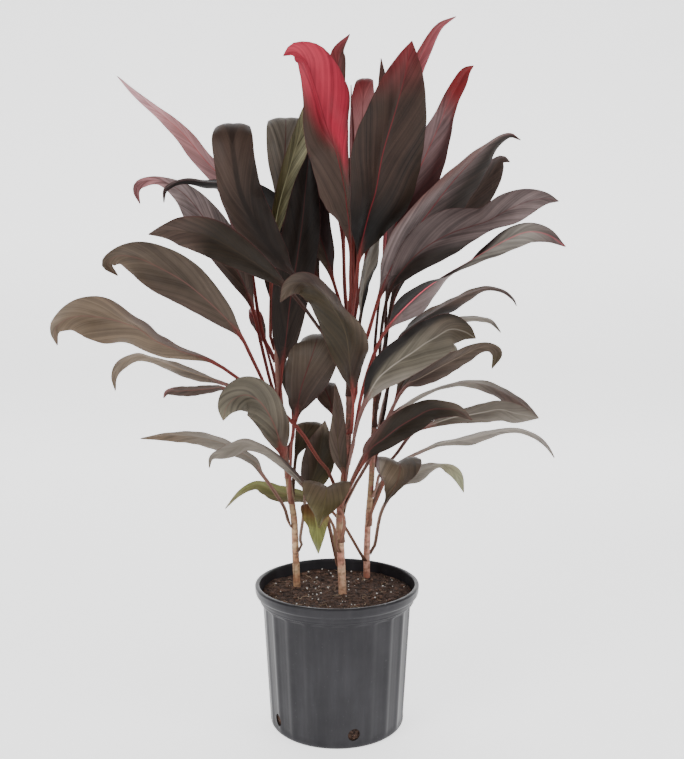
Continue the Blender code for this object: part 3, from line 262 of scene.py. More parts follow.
leaf("left_long_thin", LEFT, 31, [(-8.6, 35, -2.5), (-10.4, 38.2, -2.5)],
     [(-11.8, 40.4, -2.5, 0.5, -40), (-13, 42.4, -2.5, 1, -45), (-15.8, 44.2, -2, 1.3),
      (-18.5, 45.5, -1.5, 1.6), (-22.6, 46.4, -1, 1.5), (-27, 46.6, -0.5, 1), (-31.3, 46.1, 0, 0.06)])
leaf("left_front_broad", LEFT, 35, [(-7.4, 40, -1.5), (-7.1, 45.5, -0.8)],
     [(-6.4, 49.6, 0, 0.5, -15), (-6.2, 51.5, 0.2, 1.6, -20), (-5.7, 54, 0.8, 3.1), (-4.8, 56.8, 1.3, 4),
      (-3.8, 59.7, 1.3, 4, -17), (-3.1, 62, 0, 3.2, -12), (-2.9, 62.7, -3.4, 2.3, 0),
      (-3, 60.9, -8, 0.06)], fold=-10, faces=OVER)
leaf("left_low_dark", LEFT, 27, [(-5.8, 30, -2.5), (-5.3, 33.5, -2.3)],
     [(-5, 36.8, -2.5, 0.5), (-4, 39.2, -2.8, 2), (-3.1, 42, -2.9, 2.7), (-2.6, 45, -2.6, 2.3),
      (-2.2, 47.2, -2.2, 1.2), (-1.9, 49, -1.8, 0.06)])
leaf("left_curled", LEFT, 36, [(-6.9, 39.5, -4.5)],
     [(-6.5, 43.4, -5, 0.4), (-5.5, 45.8, -5.4, 1.4), (-4.6, 47.9, -6.2, 2.1), (-4.2, 48.8, -8, 2.1),
      (-4.1, 48.2, -11, 1.5), (-4.2, 46.5, -13.5, 0.06)], fold=-10, faces=OVER)
leaf("back_left", LEFT, 55, [(-9.6, 60, -8)],
     [(-9.6, 66, -14, 0.4), (-9, 71, -20, 2.8), (-8, 74.5, -26, 3.4), (-7, 75, -32, 2.5),
      (-6, 73, -37, 0.06)], faces=SKY)
leaf("back_left_small", LEFT, 50, [(-10, 56, -7)],
     [(-11.3, 61, -12, 0.3), (-12.4, 64, -16, 1.3), (-13, 66, -19, 1.1),
      (-13.6, 66.8, -22, 0.06)], faces=SKY)
leaf("back_left_low", LEFT, 42, [(-7, 46.4, -8.8)],
     [(-7, 51, -13, 0.4), (-6.5, 55, -19, 2.6), (-6, 57.8, -25, 3.2), (-5.5, 57.5, -31, 2.4),
      (-5.5, 54.5, -36, 0.06)], faces=SKY)

# the leaves of the middle cane
leaf("top_red", MIDDLE, 65, [(2.2, 71, 2)],
     [(2.2, 76.5, 2.5, 0.4, -30), (1.9, 80.5, 3, 1.7, -40), (1.6, 82.7, 3.3, 3.4, -45),
      (1.3, 85.3, 3.7, 4.4, -48), (0, 90.8, 4.3, 4.2, -35), (-1.5, 94.6, 4.5, 4, 0),
      (-2.7, 98.5, 4.4, 4.6, 33), (-3.9, 102.4, 4.1, 4.4, 42), (-4.8, 104.6, 4, 3.4, 40),
      (-6.5, 105.9, 4.2, 1.5, 30), (-8.2, 105.4, 4.6, 0.06)], fold=30)
leaf("top_dark", MIDDLE, 63, [(2.9, 69, 3)],
     [(3.4, 74.8, 4, 0.5, 20), (4.3, 79, 4.8, 3.5, 40), (5.1, 82, 5.3, 5.3, 42), (6, 85, 5.8, 6.2, 40),
      (7.1, 90.8, 6.3, 6.5, 34), (8.9, 96.8, 6.4, 5, 26), (10.4, 102.2, 6, 3, 14), (11, 105.2, 5.6, 1.5, 5),
      (11.5, 107.6, 5, 0.06, 0)])
leaf("top_small_red", MIDDLE, 64, [(1.2, 70, -1.5)],
     [(1, 77, -3, 0.4), (0.6, 85, -5, 1.2), (0.1, 93, -7, 1.5), (-0.1, 100, -8, 1.5),
      (0.1, 104.5, -8.5, 1.4), (0.3, 106.3, -8.8, 0.9), (2, 108.6, -9, 0.06)])
leaf("top_spear", MIDDLE, 66, [(2.4, 72, 0.3)],
     [(2.2, 80, 0.2, 0.6, 60), (2.1, 88, 0, 0.7), (2.1, 95, 0, 0.5), (2.2, 101, 0, 0.06)], fold=60)
leaf("top_round", MIDDLE, 62, [(3, 68, -1.5)],
     [(3.4, 76, -3.5, 0.4), (3.6, 84, -5.5, 1.4), (3.8, 92, -7, 2), (4, 98, -8, 2), (4.2, 101.2, -9.2, 1.6),
      (4.4, 102, -11.5, 1.2), (4.5, 101, -14, 0.06)], fold=-10, faces=OVER)
leaf("top_dark_tip", MIDDLE, 60, [(2.9, 66, -4)],
     [(4.6, 75, -7, 0.4), (6, 85, -9.6, 1.6), (7.2, 94, -12, 1.9), (7.4, 99.5, -13.4, 1.4),
      (7, 102.5, -13.8, 0.6), (6.8, 105, -14, 0.06)])
leaf("mid_arching", MIDDLE, 47, [(2.5, 51.5, 2.8)],
     [(2.3, 54, 3.6, 0.6, 34), (2.1, 56, 4.5, 1.7, 40), (1.9, 59, 6, 2.7, 25), (1.6, 62, 7.5, 3.3, -10),
      (0.9, 64.3, 9, 3.4, -30), (-0.5, 66.8, 11, 3.2, -50), (-2.5, 69.2, 13, 2.7, -45),
      (-5.1, 70.8, 15, 1.9, -25), (-7.3, 70.2, 16.8, 1.3, -15), (-8.9, 67.8, 17.8, 0.06, 0)])
leaf("mid_pale_narrow", MIDDLE, 55.5, [(3, 60.5, -0.6)],
     [(3.6, 65.5, 0.3, 0.4, 50), (3.9, 68.8, 0, 1), (4.4, 71.8, -0.3, 1.4), (5.3, 74.8, -0.8, 1.5),
      (6.1, 77.9, -1.5, 0.9), (6.6, 79.7, -2, 0.06)])
leaf("mid_dark_upright", MIDDLE, 61, [(0.9, 66, -1)],
     [(-0.7, 71.5, -3, 0.4), (-1.8, 75.5, -4.5, 1.6), (-3.2, 80, -6, 2.4), (-4.2, 86, -8, 3),
      (-4.5, 91.5, -11, 1.8), (-4, 94.5, -14, 0.06)])
leaf("mid_left_upright", MIDDLE, 56, [(0.8, 62, 2.5), (-2, 66.5, 4)],
     [(-6.6, 72, 6, 0.4, -10), (-9.3, 75, 6.5, 1.8, 0), (-12.3, 79.2, 6.5, 2.9), (-14.9, 84.5, 6.5, 3.2),
      (-15.9, 89.8, 6, 3.1), (-16.2, 93.5, 4.5, 3.1), (-16, 95.2, 1.5, 2.5), (-15.7, 94.4, -1.5, 1.4),
      (-15.5, 92.4, -3.5, 0.06)], fold=-10, faces=OVER)
leaf("mid_left_olive", MIDDLE, 53, [(0.8, 58.5, 5), (-3.2, 64, 8), (-5.2, 66.8, 9)],
     [(-8, 70.2, 10, 0.5, -10), (-12, 73.3, 11, 1.7), (-16, 75.9, 12, 2.5), (-20, 78, 12.5, 2.8),
      (-24, 78.8, 12.5, 2.2), (-26.7, 78.8, 12.5, 1.1), (-29.4, 78.3, 12.5, 0.06)])
leaf("mid_left_thin", MIDDLE, 58, [(-0.2, 64, -2), (-3, 70, -5)],
     [(-6, 75.5, -7.5, 0.5, -10), (-9, 80.5, -8.5, 3, -20), (-12.5, 84, -9, 3.1, -35),
      (-16.5, 86, -9.5, 2.4, -55), (-20.5, 86.4, -10, 1.7, -65), (-24, 86.6, -10, 0.9),
      (-26.6, 85.3, -10, 0.6, -50), (-26.9, 83.2, -10, 0.06)])
leaf("mid_right_olive", MIDDLE, 38, [(1.9, 42, 2.5), (2.8, 46, 4), (3.6, 49.3, 5)],
     [(4.6, 52.3, 6, 0.6, 5), (6.3, 55.4, 7.2, 1.9, 0), (8, 57.1, 8.2, 2.6), (10, 58.6, 9.2, 2.9),
      (12, 59.9, 10.2, 3), (13.8, 61.2, 11, 3.1), (15.5, 62.2, 12, 3.1), (17.8, 63.5, 13, 2.6, 10),
      (20, 63.2, 13.5, 1.6, 20), (21.9, 62.1, 13.5, 0.06)])
leaf("mid_right_dark", MIDDLE, 36, [(3.2, 40.3, 3)],
     [(4.3, 42.5, 4.5, 0.4, 10), (5.3, 44.4, 5.5, 1.2, 5), (7.6, 46.2, 7.2, 1.8, 0), (9.9, 48, 8.7, 2.1),
      (12.4, 49.5, 10, 2.1), (14.7, 50.7, 11, 1.7, 5), (17, 50.9, 11.7, 1.3, 10), (19.2, 50.6, 12.2, 0.9),
      (21.5, 49.1, 12.5, 0.06)])
leaf("mid_right_pink_rib", MIDDLE, 42, [(3, 47.5, 1.3), (4.2, 54, 3.2), (6, 60, 6)],
     [(8, 64, 8, 0.5, 35), (11, 67.3, 10, 2.6, 45), (14, 70, 11, 2.4, 55), (17, 72, 11.5, 1.8, 78),
      (20.5, 74, 11.5, 1.6, 100), (23.5, 75.8, 11, 1.8, 130), (27, 77.7, 10.5, 1.8, 155),
      (30, 78.7, 10, 1.6, 160), (33, 78.2, 9.6, 1.1), (35.7, 76.4, 9, 0.06)])
leaf("mid_right_mauve", MIDDLE, 51, [(3.4, 57, 0.8), (5, 63, 1.5)],
     [(6.7, 69, 2, 0.5, 20), (8.5, 73.2, 2.3, 2.4), (11, 77.3, 2.5, 4, 25), (14.5, 82, 2.5, 4.5, 35),
      (18, 86.5, 2, 4.2, 50), (21.5, 90.3, 1.5, 3.4, 57), (24.5, 92.9, 1, 1.8, 60), (26.8, 93.7, 0.7, 0.9),
      (28.4, 92.7, 0.5, 0.06)], fold=24)
leaf("mid_right_green_tip", MIDDLE, 35, [(3, 38.6, 1), (5.3, 42.8, 0.8), (8.3, 50, 0)],
     [(10.6, 54.4, -0.5, 0.5, 35), (13.1, 55.8, -0.8, 1.4, 30), (16.9, 57.9, -1.3, 1.9),
      (20.2, 59.6, -1.8, 1.5), (22.4, 60.6, -2, 0.9, 20), (24.2, 60.7, -2, 0.8), (25.3, 59.6, -2, 0.9, 10),
      (24.5, 57.3, -2, 0.06)])
leaf("mid_right_long_arch", MIDDLE, 34, [(2, 38.3, -0.8), (4, 43, -2.5), (6.2, 47.2, -4)],
     [(9, 50.4, -5, 0.5, 60), (12.5, 52.6, -6, 0.9, 65), (16, 54.3, -7, 1, 68), (20, 55.2, -8, 1.1, 65),
      (24, 54.6, -8.5, 1.7, 55), (28, 52.6, -9, 1.8, 50), (30.5, 50.8, -9, 1), (32, 49.5, -9, 0.06)])
leaf("mid_left_great_brown", MIDDLE, 37, [(-1.3, 40.6, -0.4), (-3.2, 43, 0), (-5.6, 47, 0.4),
     (-9.1, 50.7, 1), (-14.5, 55, 2.4)],
     [(-19.7, 58.6, 5, 0.5, -40), (-24.3, 60, 7.6, 1.5, -50), (-28.3, 61.6, 9.8, 2.3, -48),
      (-30.8, 63.4, 11.1, 3.1), (-32.8, 64.3, 12, 3.4, -45), (-35.5, 65.1, 13, 3.7, -30),
      (-38, 65.5, 13.8, 3.4, -12), (-40.5, 65.6, 14.2, 2.7, -10), (-42.7, 65, 14.4, 1.7),
      (-44.5, 63.4, 14.4, 0.8), (-44.1, 61, 14.4, 0.06)], fold=20)
leaf("mid_left_low_grey", MIDDLE, 29.5, [(1.3, 33, 2.2), (0.2, 35.1, 3), (-2.2, 36.2, 3.5)],
     [(-4.6, 38, 4.5, 0.5, -30), (-6.6, 40.2, 5.8, 0.65), (-9.2, 42.7, 7.1, 0.8), (-11.8, 44.4, 7.6, 0.8),
      (-14.5, 45.2, 8, 1.1, -25), (-16.3, 44.6, 8.4, 1.2, -20), (-18.1, 43.9, 8.7, 1), (-20, 43.1, 9, 0.4),
      (-20.4, 41.4, 9, 0.06)])
leaf("mid_left_low_green", MIDDLE, 25.5, [(-1.2, 31.5, -1.2), (-1.9, 34.5, -3.6)],
     [(-3.2, 36.2, -5, 0.5, -30), (-6, 37, -7, 1.3), (-9.2, 37.4, -8.7, 1.6), (-11.3, 38.2, -9.6, 1.4),
      (-13.2, 38.6, -10.3, 0.9), (-15.6, 37.3, -11, 0.5, -20), (-17.9, 34.8, -11.5, 0.06)])
leaf("mid_low_green_tip", MIDDLE, 28, [(-0.7, 32, 2)],
     [(-2, 34, 2.2, 0.5), (-3, 35.1, 3.1, 1.2), (-3.6, 34.9, 4.5, 2.1), (-3.5, 33.2, 5.6, 2.2),
      (-3.2, 31, 6.2, 1.4), (-3.1, 29, 6.6, 0.7), (-3, 27.4, 6.9, 0.06)], faces=SKY)
leaf("mid_left_black", MIDDLE, 43, [(0.2, 47.6, -1)],
     [(-0.5, 50, -2.4, 0.5), (-1.4, 53, -4.5, 1.9), (-2.5, 54.9, -7.2, 2.3), (-3.7, 54.8, -10.2, 1.7),
      (-4.8, 53, -12.6, 0.06)], fold=-10, faces=OVER)
leaf("mid_low_narrow", MIDDLE, 34, [(1.3, 37.5, 3)],
     [(1.1, 40.3, 3, 0.4), (0.4, 43.2, 3, 1.2), (0.1, 46, 3, 1.4), (0.2, 49, 2.7, 1.1), (0.1, 52, 2.3, 0.7),
      (-0.3, 55, 1.8, 0.06)])
leaf("back_middle", MIDDLE, 59, [(2.1, 66, -5)],
     [(3, 74, -12, 0.5), (4, 82, -18, 3.2), (5, 88.5, -24, 4), (6, 91.5, -30, 3.6), (7, 91, -36, 2.2),
      (8, 87.5, -41, 0.06)], faces=SKY)
leaf("back_middle_left", MIDDLE, 57, [(0.2, 63, -5)],
     [(-3, 71, -12, 0.5), (-5, 78, -19, 3), (-6, 82.5, -25, 3.6), (-6, 83, -31, 2.6),
      (-5.5, 80, -36, 0.06)], faces=SKY)

# the leaves of the right cane
leaf("right_pink_tip", RIGHT, 55.5, [(5.9, 61, -10.2)],
     [(7, 72, -12.7, 0.4, 40), (8.4, 84, -14.8, 1.6, 45), (9.9, 95, -16, 2), (11.7, 102.5, -17, 1.9),
      (13.7, 106.8, -17, 1.5), (15.6, 109.8, -17, 0.9), (18.2, 111.2, -17, 0.06)])
leaf("right_red_tip", RIGHT, 53, [(7.6, 60, -7.8)],
     [(8, 73, -8.5, 0.4, 10), (9.6, 81.5, -8.6, 2), (11.3, 85.4, -8.7, 3.9, 12), (12.6, 88, -8.8, 3.9, 20),
      (14.3, 91.7, -8.8, 3.3, 30), (15.6, 94.6, -8.8, 2.6, 35), (17.2, 98.5, -8.8, 1.9, 40),
      (18.6, 101.2, -8.8, 1.6), (19.7, 103, -8.8, 1.1), (21, 103.9, -8.8, 0.06)])
leaf("right_dark_behind", RIGHT, 50, [(7.5, 58, -5.2)],
     [(8.8, 69, -4.9, 0.4, 10), (11.5, 74, -4.6, 1.6), (15, 77.5, -4.4, 2.6), (18.5, 80.8, -4.4, 3),
      (21, 83.8, -4.4, 2.8), (23.4, 87, -4.4, 2.2), (25.4, 89.7, -4.4, 0.9, 20), (26.8, 89.4, -4.4, 0.06)])
leaf("right_grey_long", RIGHT, 47, [(6.6, 53, -4.2), (7.1, 63, -0.8)],
     [(8.3, 69.5, 3, 0.5, -15), (10.5, 73, 5, 2, -20), (13.5, 76, 6.5, 3.3), (17.5, 78.3, 7.4, 3.6, -25),
      (21, 79.5, 7.8, 3, -35), (23.5, 80.3, 8, 2.4), (26.5, 82, 8, 2.5, -10), (29.5, 83.3, 8, 2, 0),
      (32.3, 83.8, 8, 1), (34.5, 83.4, 8, 0.06)])
leaf("right_thin_arch", RIGHT, 45, [(7.6, 50.5, -6.6), (8.6, 58.5, -6)],
     [(9.8, 62.3, -5.5, 0.5, 60), (12, 64.3, -5, 2), (16.5, 67.1, -4.6, 2.2), (20.5, 69.1, -4.4, 1.6),
      (23.5, 70, -4.4, 0.8), (26, 69.6, -4.4, 0.6), (27.6, 68.4, -4.4, 0.4), (28.2, 67.2, -4.4, 0.06)])
leaf("right_thin_small", RIGHT, 43, [(7, 50, -8.5), (8.6, 56, -10)],
     [(11.5, 61.3, -11.5, 0.5, 60), (14.5, 63.8, -12.5, 1.1, 62), (18.5, 65, -13.5, 1.2),
      (22, 65.3, -14, 1, 60), (24.3, 64.8, -14.5, 0.7, 55), (25.8, 63, -14.5, 0.06, 50)])
leaf("right_long_grey", RIGHT, 33, [(6.8, 38.5, -8.5), (9.5, 42, -9.5)],
     [(13.2, 44.1, -10.8, 0.5, 50), (15.8, 45.2, -11.7, 0.7), (18.3, 45.7, -12.5, 0.9),
      (21.4, 46.2, -13.4, 1.3, 45), (25.9, 47.3, -14.5, 0.9, 50), (28.2, 47.6, -15, 0.8),
      (30.2, 47.2, -15, 0.7), (32, 46.3, -15, 0.6, 45), (33.5, 44.9, -15, 0.4, 40), (34.7, 43, -15, 0.06)])
leaf("right_front_droop", RIGHT, 30, [(5.6, 34, -6.5), (6.6, 36.5, -5)],
     [(7.6, 39, -3.5, 0.6), (8.6, 41, -1.5, 2.5), (9.6, 42.3, 1.5, 3.3), (10.1, 41.6, 4.5, 3.4),
      (9.8, 39.6, 6.5, 2.9), (8.8, 37.3, 7.3, 1.8), (7.5, 35.1, 7.6, 0.06)], faces=SKY)
leaf("right_green_tip", RIGHT, 25, [(6.2, 29, -8.3), (7.2, 34.5, -8.6)],
     [(9.8, 38.6, -9, 0.6, 25), (12.7, 40.5, -9.5, 1.6, 30), (14.7, 41.5, -9.9, 1.4, 50),
      (16.5, 42, -10.1, 1, 70), (18.1, 41.4, -10.3, 1.1, 30), (19.4, 39.9, -10.5, 0.9, 10),
      (20.3, 37.4, -10.5, 0.06, 0)])
leaf("right_grey_green", RIGHT, 35, [(7, 40.5, -6.5), (9.5, 43.5, -5), (12, 47, -3.5)],
     [(14.5, 48.2, -2.7, 0.5, 20), (18.3, 49.5, -1.7, 1.1), (20.8, 49.9, -1.3, 1.4),
      (23.4, 50.4, -0.9, 1.7), (25.9, 50.8, -0.5, 1.8), (28.4, 50.2, -0.2, 1.7), (30.5, 49.8, 0, 0.9),
      (32.1, 49.4, 0, 0.06)])
leaf("right_low_droop", RIGHT, 24, [(3.8, 27.2, -6.5), (1, 32, -3.8), (-1.4, 35, -1.2)],
     [(-1.5, 37, 1.8, 0.9), (-1.5, 38.3, 4.8, 3.1), (-1.7, 37.6, 7.5, 3.8), (-2.1, 34.9, 9.8, 2.4),
      (-2.9, 31.6, 10.6, 0.06)], faces=SKY)
leaf("back_right", RIGHT, 51, [(7, 58, -11)],
     [(9, 68, -17, 0.5), (12, 76, -23, 3), (15, 81, -29, 3.8), (18, 82, -35, 2.8),
      (20, 80, -40, 0.06)], faces=SKY)
leaf("back_right_low", RIGHT, 40, [(7.6, 46, -12)],
     [(9.6, 53, -17, 0.4), (12, 57.5, -22, 2.4), (15, 60.3, -28, 2.8), (17.5, 60.4, -33, 1.8),
      (19, 59, -37, 0.06)], faces=SKY)


def srgb(red, green, blue):
    """A linear colour from the 0 to 255 values of a screen colour."""
    return tuple((c / 255 / 12.92) if c <= 10 else ((c / 255 + 0.055) / 1.055) ** 2.4
                 for c in (red, green, blue))


# Leaf colours, from dark to pale. The darkest ones are also laid on some leaves as painted shade
BLACK_BROWN = srgb(26, 19, 16)
DARK_OLIVE = srgb(40, 29, 17)
DARK_BROWN = srgb(46, 36, 31)
DARK_MAUVE = srgb(58, 43, 42)
DARK_RED = srgb(72, 30, 30)
OLIVE_BROWN = srgb(60, 50, 34)
BROWN = srgb(66, 50, 43)
WARM_BROWN = srgb(88, 70, 61)
RED_BROWN = srgb(104, 68, 62)
GREY_BROWN = srgb(98, 84, 72)
OLIVE = srgb(96, 86, 54)
MAUVE = srgb(104, 88, 86)
GREY = srgb(108, 99, 89)
GREY_GREEN = srgb(112, 104, 90)
TAN = srgb(122, 104, 86)
RUST = srgb(128, 84, 56)
YELLOW_GREEN = srgb(136, 138, 78)
PALE_MAUVE = srgb(138, 120, 118)
ROSY_GREY = srgb(144, 114, 114)
PALE_GREY = srgb(138, 129, 118)
PALE_OLIVE = srgb(170, 165, 130)
PALE_TAN = srgb(146, 130, 113)
PALE_GREEN = srgb(174, 176, 142)
SILVER = srgb(160, 152, 143)
# and the reds
MAROON = srgb(112, 26, 36)
DEEP_RED = srgb(130, 16, 22)
DULL_RED = srgb(150, 62, 66)
CRIMSON = srgb(206, 58, 80)
ROSE = srgb(236, 84, 104)
PINK = srgb(182, 96, 104)
DUSTY_PINK = srgb(186, 126, 128)
PALE_PINK = srgb(204, 140, 140)
BLUSH = srgb(240, 190, 194)
# Leaf stalks
DARK_STALK = srgb(74, 48, 41)
MAROON_STALK = srgb(148, 72, 66)
DUSTY_STALK = srgb(148, 106, 100)
PALE_STALK = srgb(184, 160, 152)
STALK_FOOT = srgb(158, 124, 104)
LOOKS = {}


def look(name, main, *washes, rib=DARK_RED, rib_width=1, under=None, stalk=MAROON_STALK, slot="leaf_dark",
         veins=1.0):
    """Notes a leaf's colours. Each wash is a colour laid over the main one where
    offset + across * (-1 at the left edge to 1 at the right) + along * (0 at the neck to 1 at the tip)
    is over 0, and fully where it reaches 1. The under side has a main colour and washes of its own,
    or else a greyer shade of the upper one."""
    LOOKS["leaf_" + name] = dict(main=main, washes=washes, rib=rib, rib_width=rib_width, under=under,
                                 stalk=stalk, slot=slot, veins=veins)


look("left_pink", ROSY_GREY, (PALE_PINK, -0.4, 0, 1.6), (BLUSH, -1.9, 0, 2.9), (RED_BROWN, 0.9, 0, -2.6),
     rib=DULL_RED, under=(PALE_PINK,), slot="leaf_red")
look("left_grey_arch", PALE_MAUVE, (GREY, -0.4, -0.7, 0), (WARM_BROWN, 1.5, 0, -2.4),
     (DUSTY_PINK, -4.6, 0, 6.5), slot="leaf_mauve", veins=1.6, under=(DUSTY_PINK,))
look("left_olive_folded", PALE_OLIVE, (OLIVE, 1.2, -0.4, -1.7), (DARK_RED, -2.4, -2.6, 0), rib=PALE_OLIVE,
     slot="leaf_olive", veins=1.8)
look("left_blunt", PALE_GREY, (GREY_BROWN, 1.3, 0, -1.5), veins=1.2)
# the black-brown wash toward the tip is painted shade, where the blade reaches into the plant's shaded middle
look("left_inner", DARK_BROWN, (BLACK_BROWN, -0.7, 0.4, 1.6), (BROWN, 0.4, 0.6, -1.6),
     (DARK_RED, -2.6, -2.9, 0))
look("left_brown_broad", GREY_BROWN, (WARM_BROWN, 0.2, -0.6, -0.5), (TAN, -1.2, -0.3, 2.0), rib=RED_BROWN)
look("left_thin_arch", PALE_TAN, (GREY_BROWN, 1.1, 0, -1.7), rib=TAN, stalk=DUSTY_STALK)
look("left_small_red", WARM_BROWN, (GREY, 0.7, 0, -2.4), (DUSTY_PINK, -2.1, 0.4, 2.6), rib=RED_BROWN)
look("left_front_droop", GREY_GREEN, (GREY_BROWN, 0.9, 0.3, -1.8), (PALE_OLIVE, -2.0, 0, 2.4),
     (DULL_RED, -2.2, -2.5, -0.6), slot="leaf_olive", rib=RED_BROWN)
look("left_long_thin", PALE_GREY, (GREY, 1.2, 0, -2.8), (TAN, -0.9, -0.2, 2.2), slot="leaf_olive",
     rib=GREY_BROWN, stalk=DUSTY_STALK)
look("left_front_broad", GREY_BROWN, (BROWN, 1.2, 0.25, -2.2), (GREY, -1.7, 0, 3.2))
look("left_low_dark", OLIVE_BROWN, (WARM_BROWN, 0.1, -1.0, 0), (OLIVE, 0.7, 0.6, -2.0),
     (PALE_TAN, -3.2, 0, 4.2), rib=OLIVE_BROWN, stalk=PALE_STALK, slot="leaf_olive")
look("left_curled", TAN, (OLIVE_BROWN, 1.35, 0.35, -2.1), slot="leaf_olive", under=(OLIVE_BROWN,),
     rib=OLIVE_BROWN, stalk=DARK_STALK)
look("back_left", WARM_BROWN, (BROWN, 0.4, -0.6, -1))
look("back_left_small", WARM_BROWN, (DULL_RED, -0.5, 0, 1.8))
look("back_left_low", OLIVE_BROWN, (OLIVE, -1, 0, 1.8), slot="leaf_olive")
look("top_red", CRIMSON, (ROSE, -0.9, -0.4, 1.9), (WARM_BROWN, 2.9, -1.0, -4.7), (BROWN, -1.3, 2.6, -1.2),
     rib=MAROON, slot="leaf_red", under=(DULL_RED,), veins=0.8)
look("top_dark", BROWN, (BLACK_BROWN, 1.5, 0, -3.6), (OLIVE_BROWN, -0.4, 0.9, -0.2),
     (DULL_RED, -2.0, -0.2, 2.9), rib=MAROON, veins=1.3)
look("top_small_red", DULL_RED, (RED_BROWN, 0.8, 1.2, -0.8), (PINK, -3.9, 0, 4.4), slot="leaf_red")
look("top_spear", DULL_RED, (MAUVE, 1.0, 0, -1.4), under=(DUSTY_PINK,))
look("top_round", PALE_PINK, (DULL_RED, -2.3, -0.3, 3.8), under=(PALE_MAUVE,))
look("top_dark_tip", RED_BROWN, (MAUVE, 0.6, 0, -1.6), (DARK_MAUVE, -1.2, 1.4, 0.8))
look("mid_arching", OLIVE_BROWN, (BROWN, 0.9, 0.2, -2.0), (GREY_BROWN, -1.2, 1.3, 1.9),
     (BROWN, -2.7, 1.0, 4.2), (GREY_BROWN, -5.0, 0, 6.4), rib=OLIVE_BROWN)
# the black-brown wash over the right half near the neck is painted shade, where that half is folded into
# shadow
look("mid_pale_narrow", PALE_GREY, (SILVER, 0.4, -1.0, -0.8), (BLACK_BROWN, 1.3, 2.6, -5.0), rib=PALE_GREY,
     slot="leaf_mauve", stalk=DARK_STALK)
look("mid_dark_upright", DARK_MAUVE, (GREY_BROWN, 0.6, -1.0, -1.4))
# the wide black-brown band along the rib is painted shade in the channel that the blade folds into
look("mid_left_upright", WARM_BROWN, (DARK_BROWN, 1.3, 0.35, -1.8), rib=BLACK_BROWN, rib_width=4,
     stalk=DARK_STALK)
look("mid_left_olive", DARK_OLIVE, (WARM_BROWN, -2.1, 0, 3.9), (DARK_RED, -2.6, 3, 0), rib=DARK_OLIVE,
     stalk=DARK_STALK)
look("mid_left_thin", BLACK_BROWN, (MAUVE, -2.4, 0.6, 3.3), slot="leaf_mauve", stalk=DARK_STALK)
# the black-brown wash over the left half near the neck is painted shade
look("mid_right_olive", GREY_GREEN, (PALE_GREY, 0.6, 0.7, -1.8), (GREY_BROWN, -1.2, -0.3, 2.2),
     (BLACK_BROWN, 0.1, -2.8, -1.9), (OLIVE_BROWN, -2.6, 0, 3.6), rib=PALE_GREY, stalk=DUSTY_STALK)
look("mid_right_dark", DARK_OLIVE, (GREY_BROWN, -2.3, -0.3, 3.2), (RED_BROWN, 0.6, -0.9, -2.6))
# the black-brown wash over the left half, and the dark mauve wash on the under side near the neck, are
# painted shade
look("mid_right_pink_rib", PALE_MAUVE, (BLACK_BROWN, 0.7, -2.2, 0), rib=ROSE, slot="leaf_mauve",
     under=(SILVER, (DARK_MAUVE, 3.6, 1.5, -6.0), (MAUVE, -3.6, 0, 4.8)), veins=1.2)
# the dark brown wash over the right half is painted shade, where that half curves down and under
look("mid_right_mauve", MAUVE, (PALE_MAUVE, 0.8, -0.6, -1.6), (RED_BROWN, -1.9, -1.8, 2.2),
     (DARK_BROWN, -0.5, 2.2, 0.7), rib=MAROON, slot="leaf_mauve", veins=1.5)
look("mid_right_green_tip", GREY_BROWN, (WARM_BROWN, 1.0, 0, -1.2), (BROWN, 1.3, -0.3, -3.2),
     (OLIVE, -3.4, 0, 4.2), rib=GREY_BROWN, stalk=DUSTY_STALK)
look("mid_right_long_arch", PALE_GREY, (WARM_BROWN, -1.8, 0.3, 3.6), (GREY_BROWN, -5.2, 0, 6.2),
     slot="leaf_mauve", rib=MAUVE, stalk=DUSTY_STALK)
look("mid_left_great_brown", TAN, (WARM_BROWN, 1.1, 1.2, -2.7), (PALE_TAN, -3.2, 0.6, 4.0), rib=RED_BROWN)
look("mid_left_low_grey", PALE_GREY, (BROWN, 1.3, 0.9, -3.0), slot="leaf_olive", rib=GREY,
     under=(PALE_TAN,))
look("mid_left_low_green", OLIVE, (YELLOW_GREEN, 0.1, 0.4, 0.8), (PALE_OLIVE, -2.2, 0, 3.2), rib=OLIVE,
     slot="leaf_olive")
look("mid_low_green_tip", YELLOW_GREEN, (RUST, 1.9, -0.1, -2.7), (PALE_GREEN, -2.9, 0.3, 3.6),
     rib=YELLOW_GREEN, slot="leaf_olive", under=(YELLOW_GREEN,))
look("mid_left_black", WARM_BROWN, (GREY, -1.4, 0.6, 2.2), (BROWN, -0.4, 1.0, -0.2))
look("back_middle", BROWN, (DULL_RED, -1.2, 0, 1.6), (MAUVE, -0.4, 0.8, 0))
look("back_middle_left", WARM_BROWN, (MAUVE, -0.4, -0.8, 0.4))
look("right_pink_tip", DULL_RED, (PINK, -0.6, 0.5, 1.1), rib=PINK, slot="leaf_red", under=(DUSTY_PINK,),
     stalk=DARK_STALK)
look("right_red_tip", ROSY_GREY, (DARK_RED, 1.2, 2.0, -2.7), (DEEP_RED, -3.7, 0, 5.4), rib=DULL_RED,
     slot="leaf_red", under=(DARK_RED,), stalk=DARK_STALK)
look("right_dark_behind", BROWN, (DARK_BROWN, 0.6, -0.9, -0.6), (MAUVE, -0.9, -1.2, 0.8), rib=BROWN,
     stalk=DARK_STALK)
# the dark brown wash over the right half near the neck is painted shade, on the half that faces down
look("right_grey_long", MAUVE, (PALE_MAUVE, -0.8, 0.6, 1.9), (MAUVE, -4.5, 0, 5.4),
     (DARK_BROWN, 1.5, 1.6, -4.6), rib=DARK_RED, slot="leaf_mauve", veins=1.4, stalk=DARK_STALK)
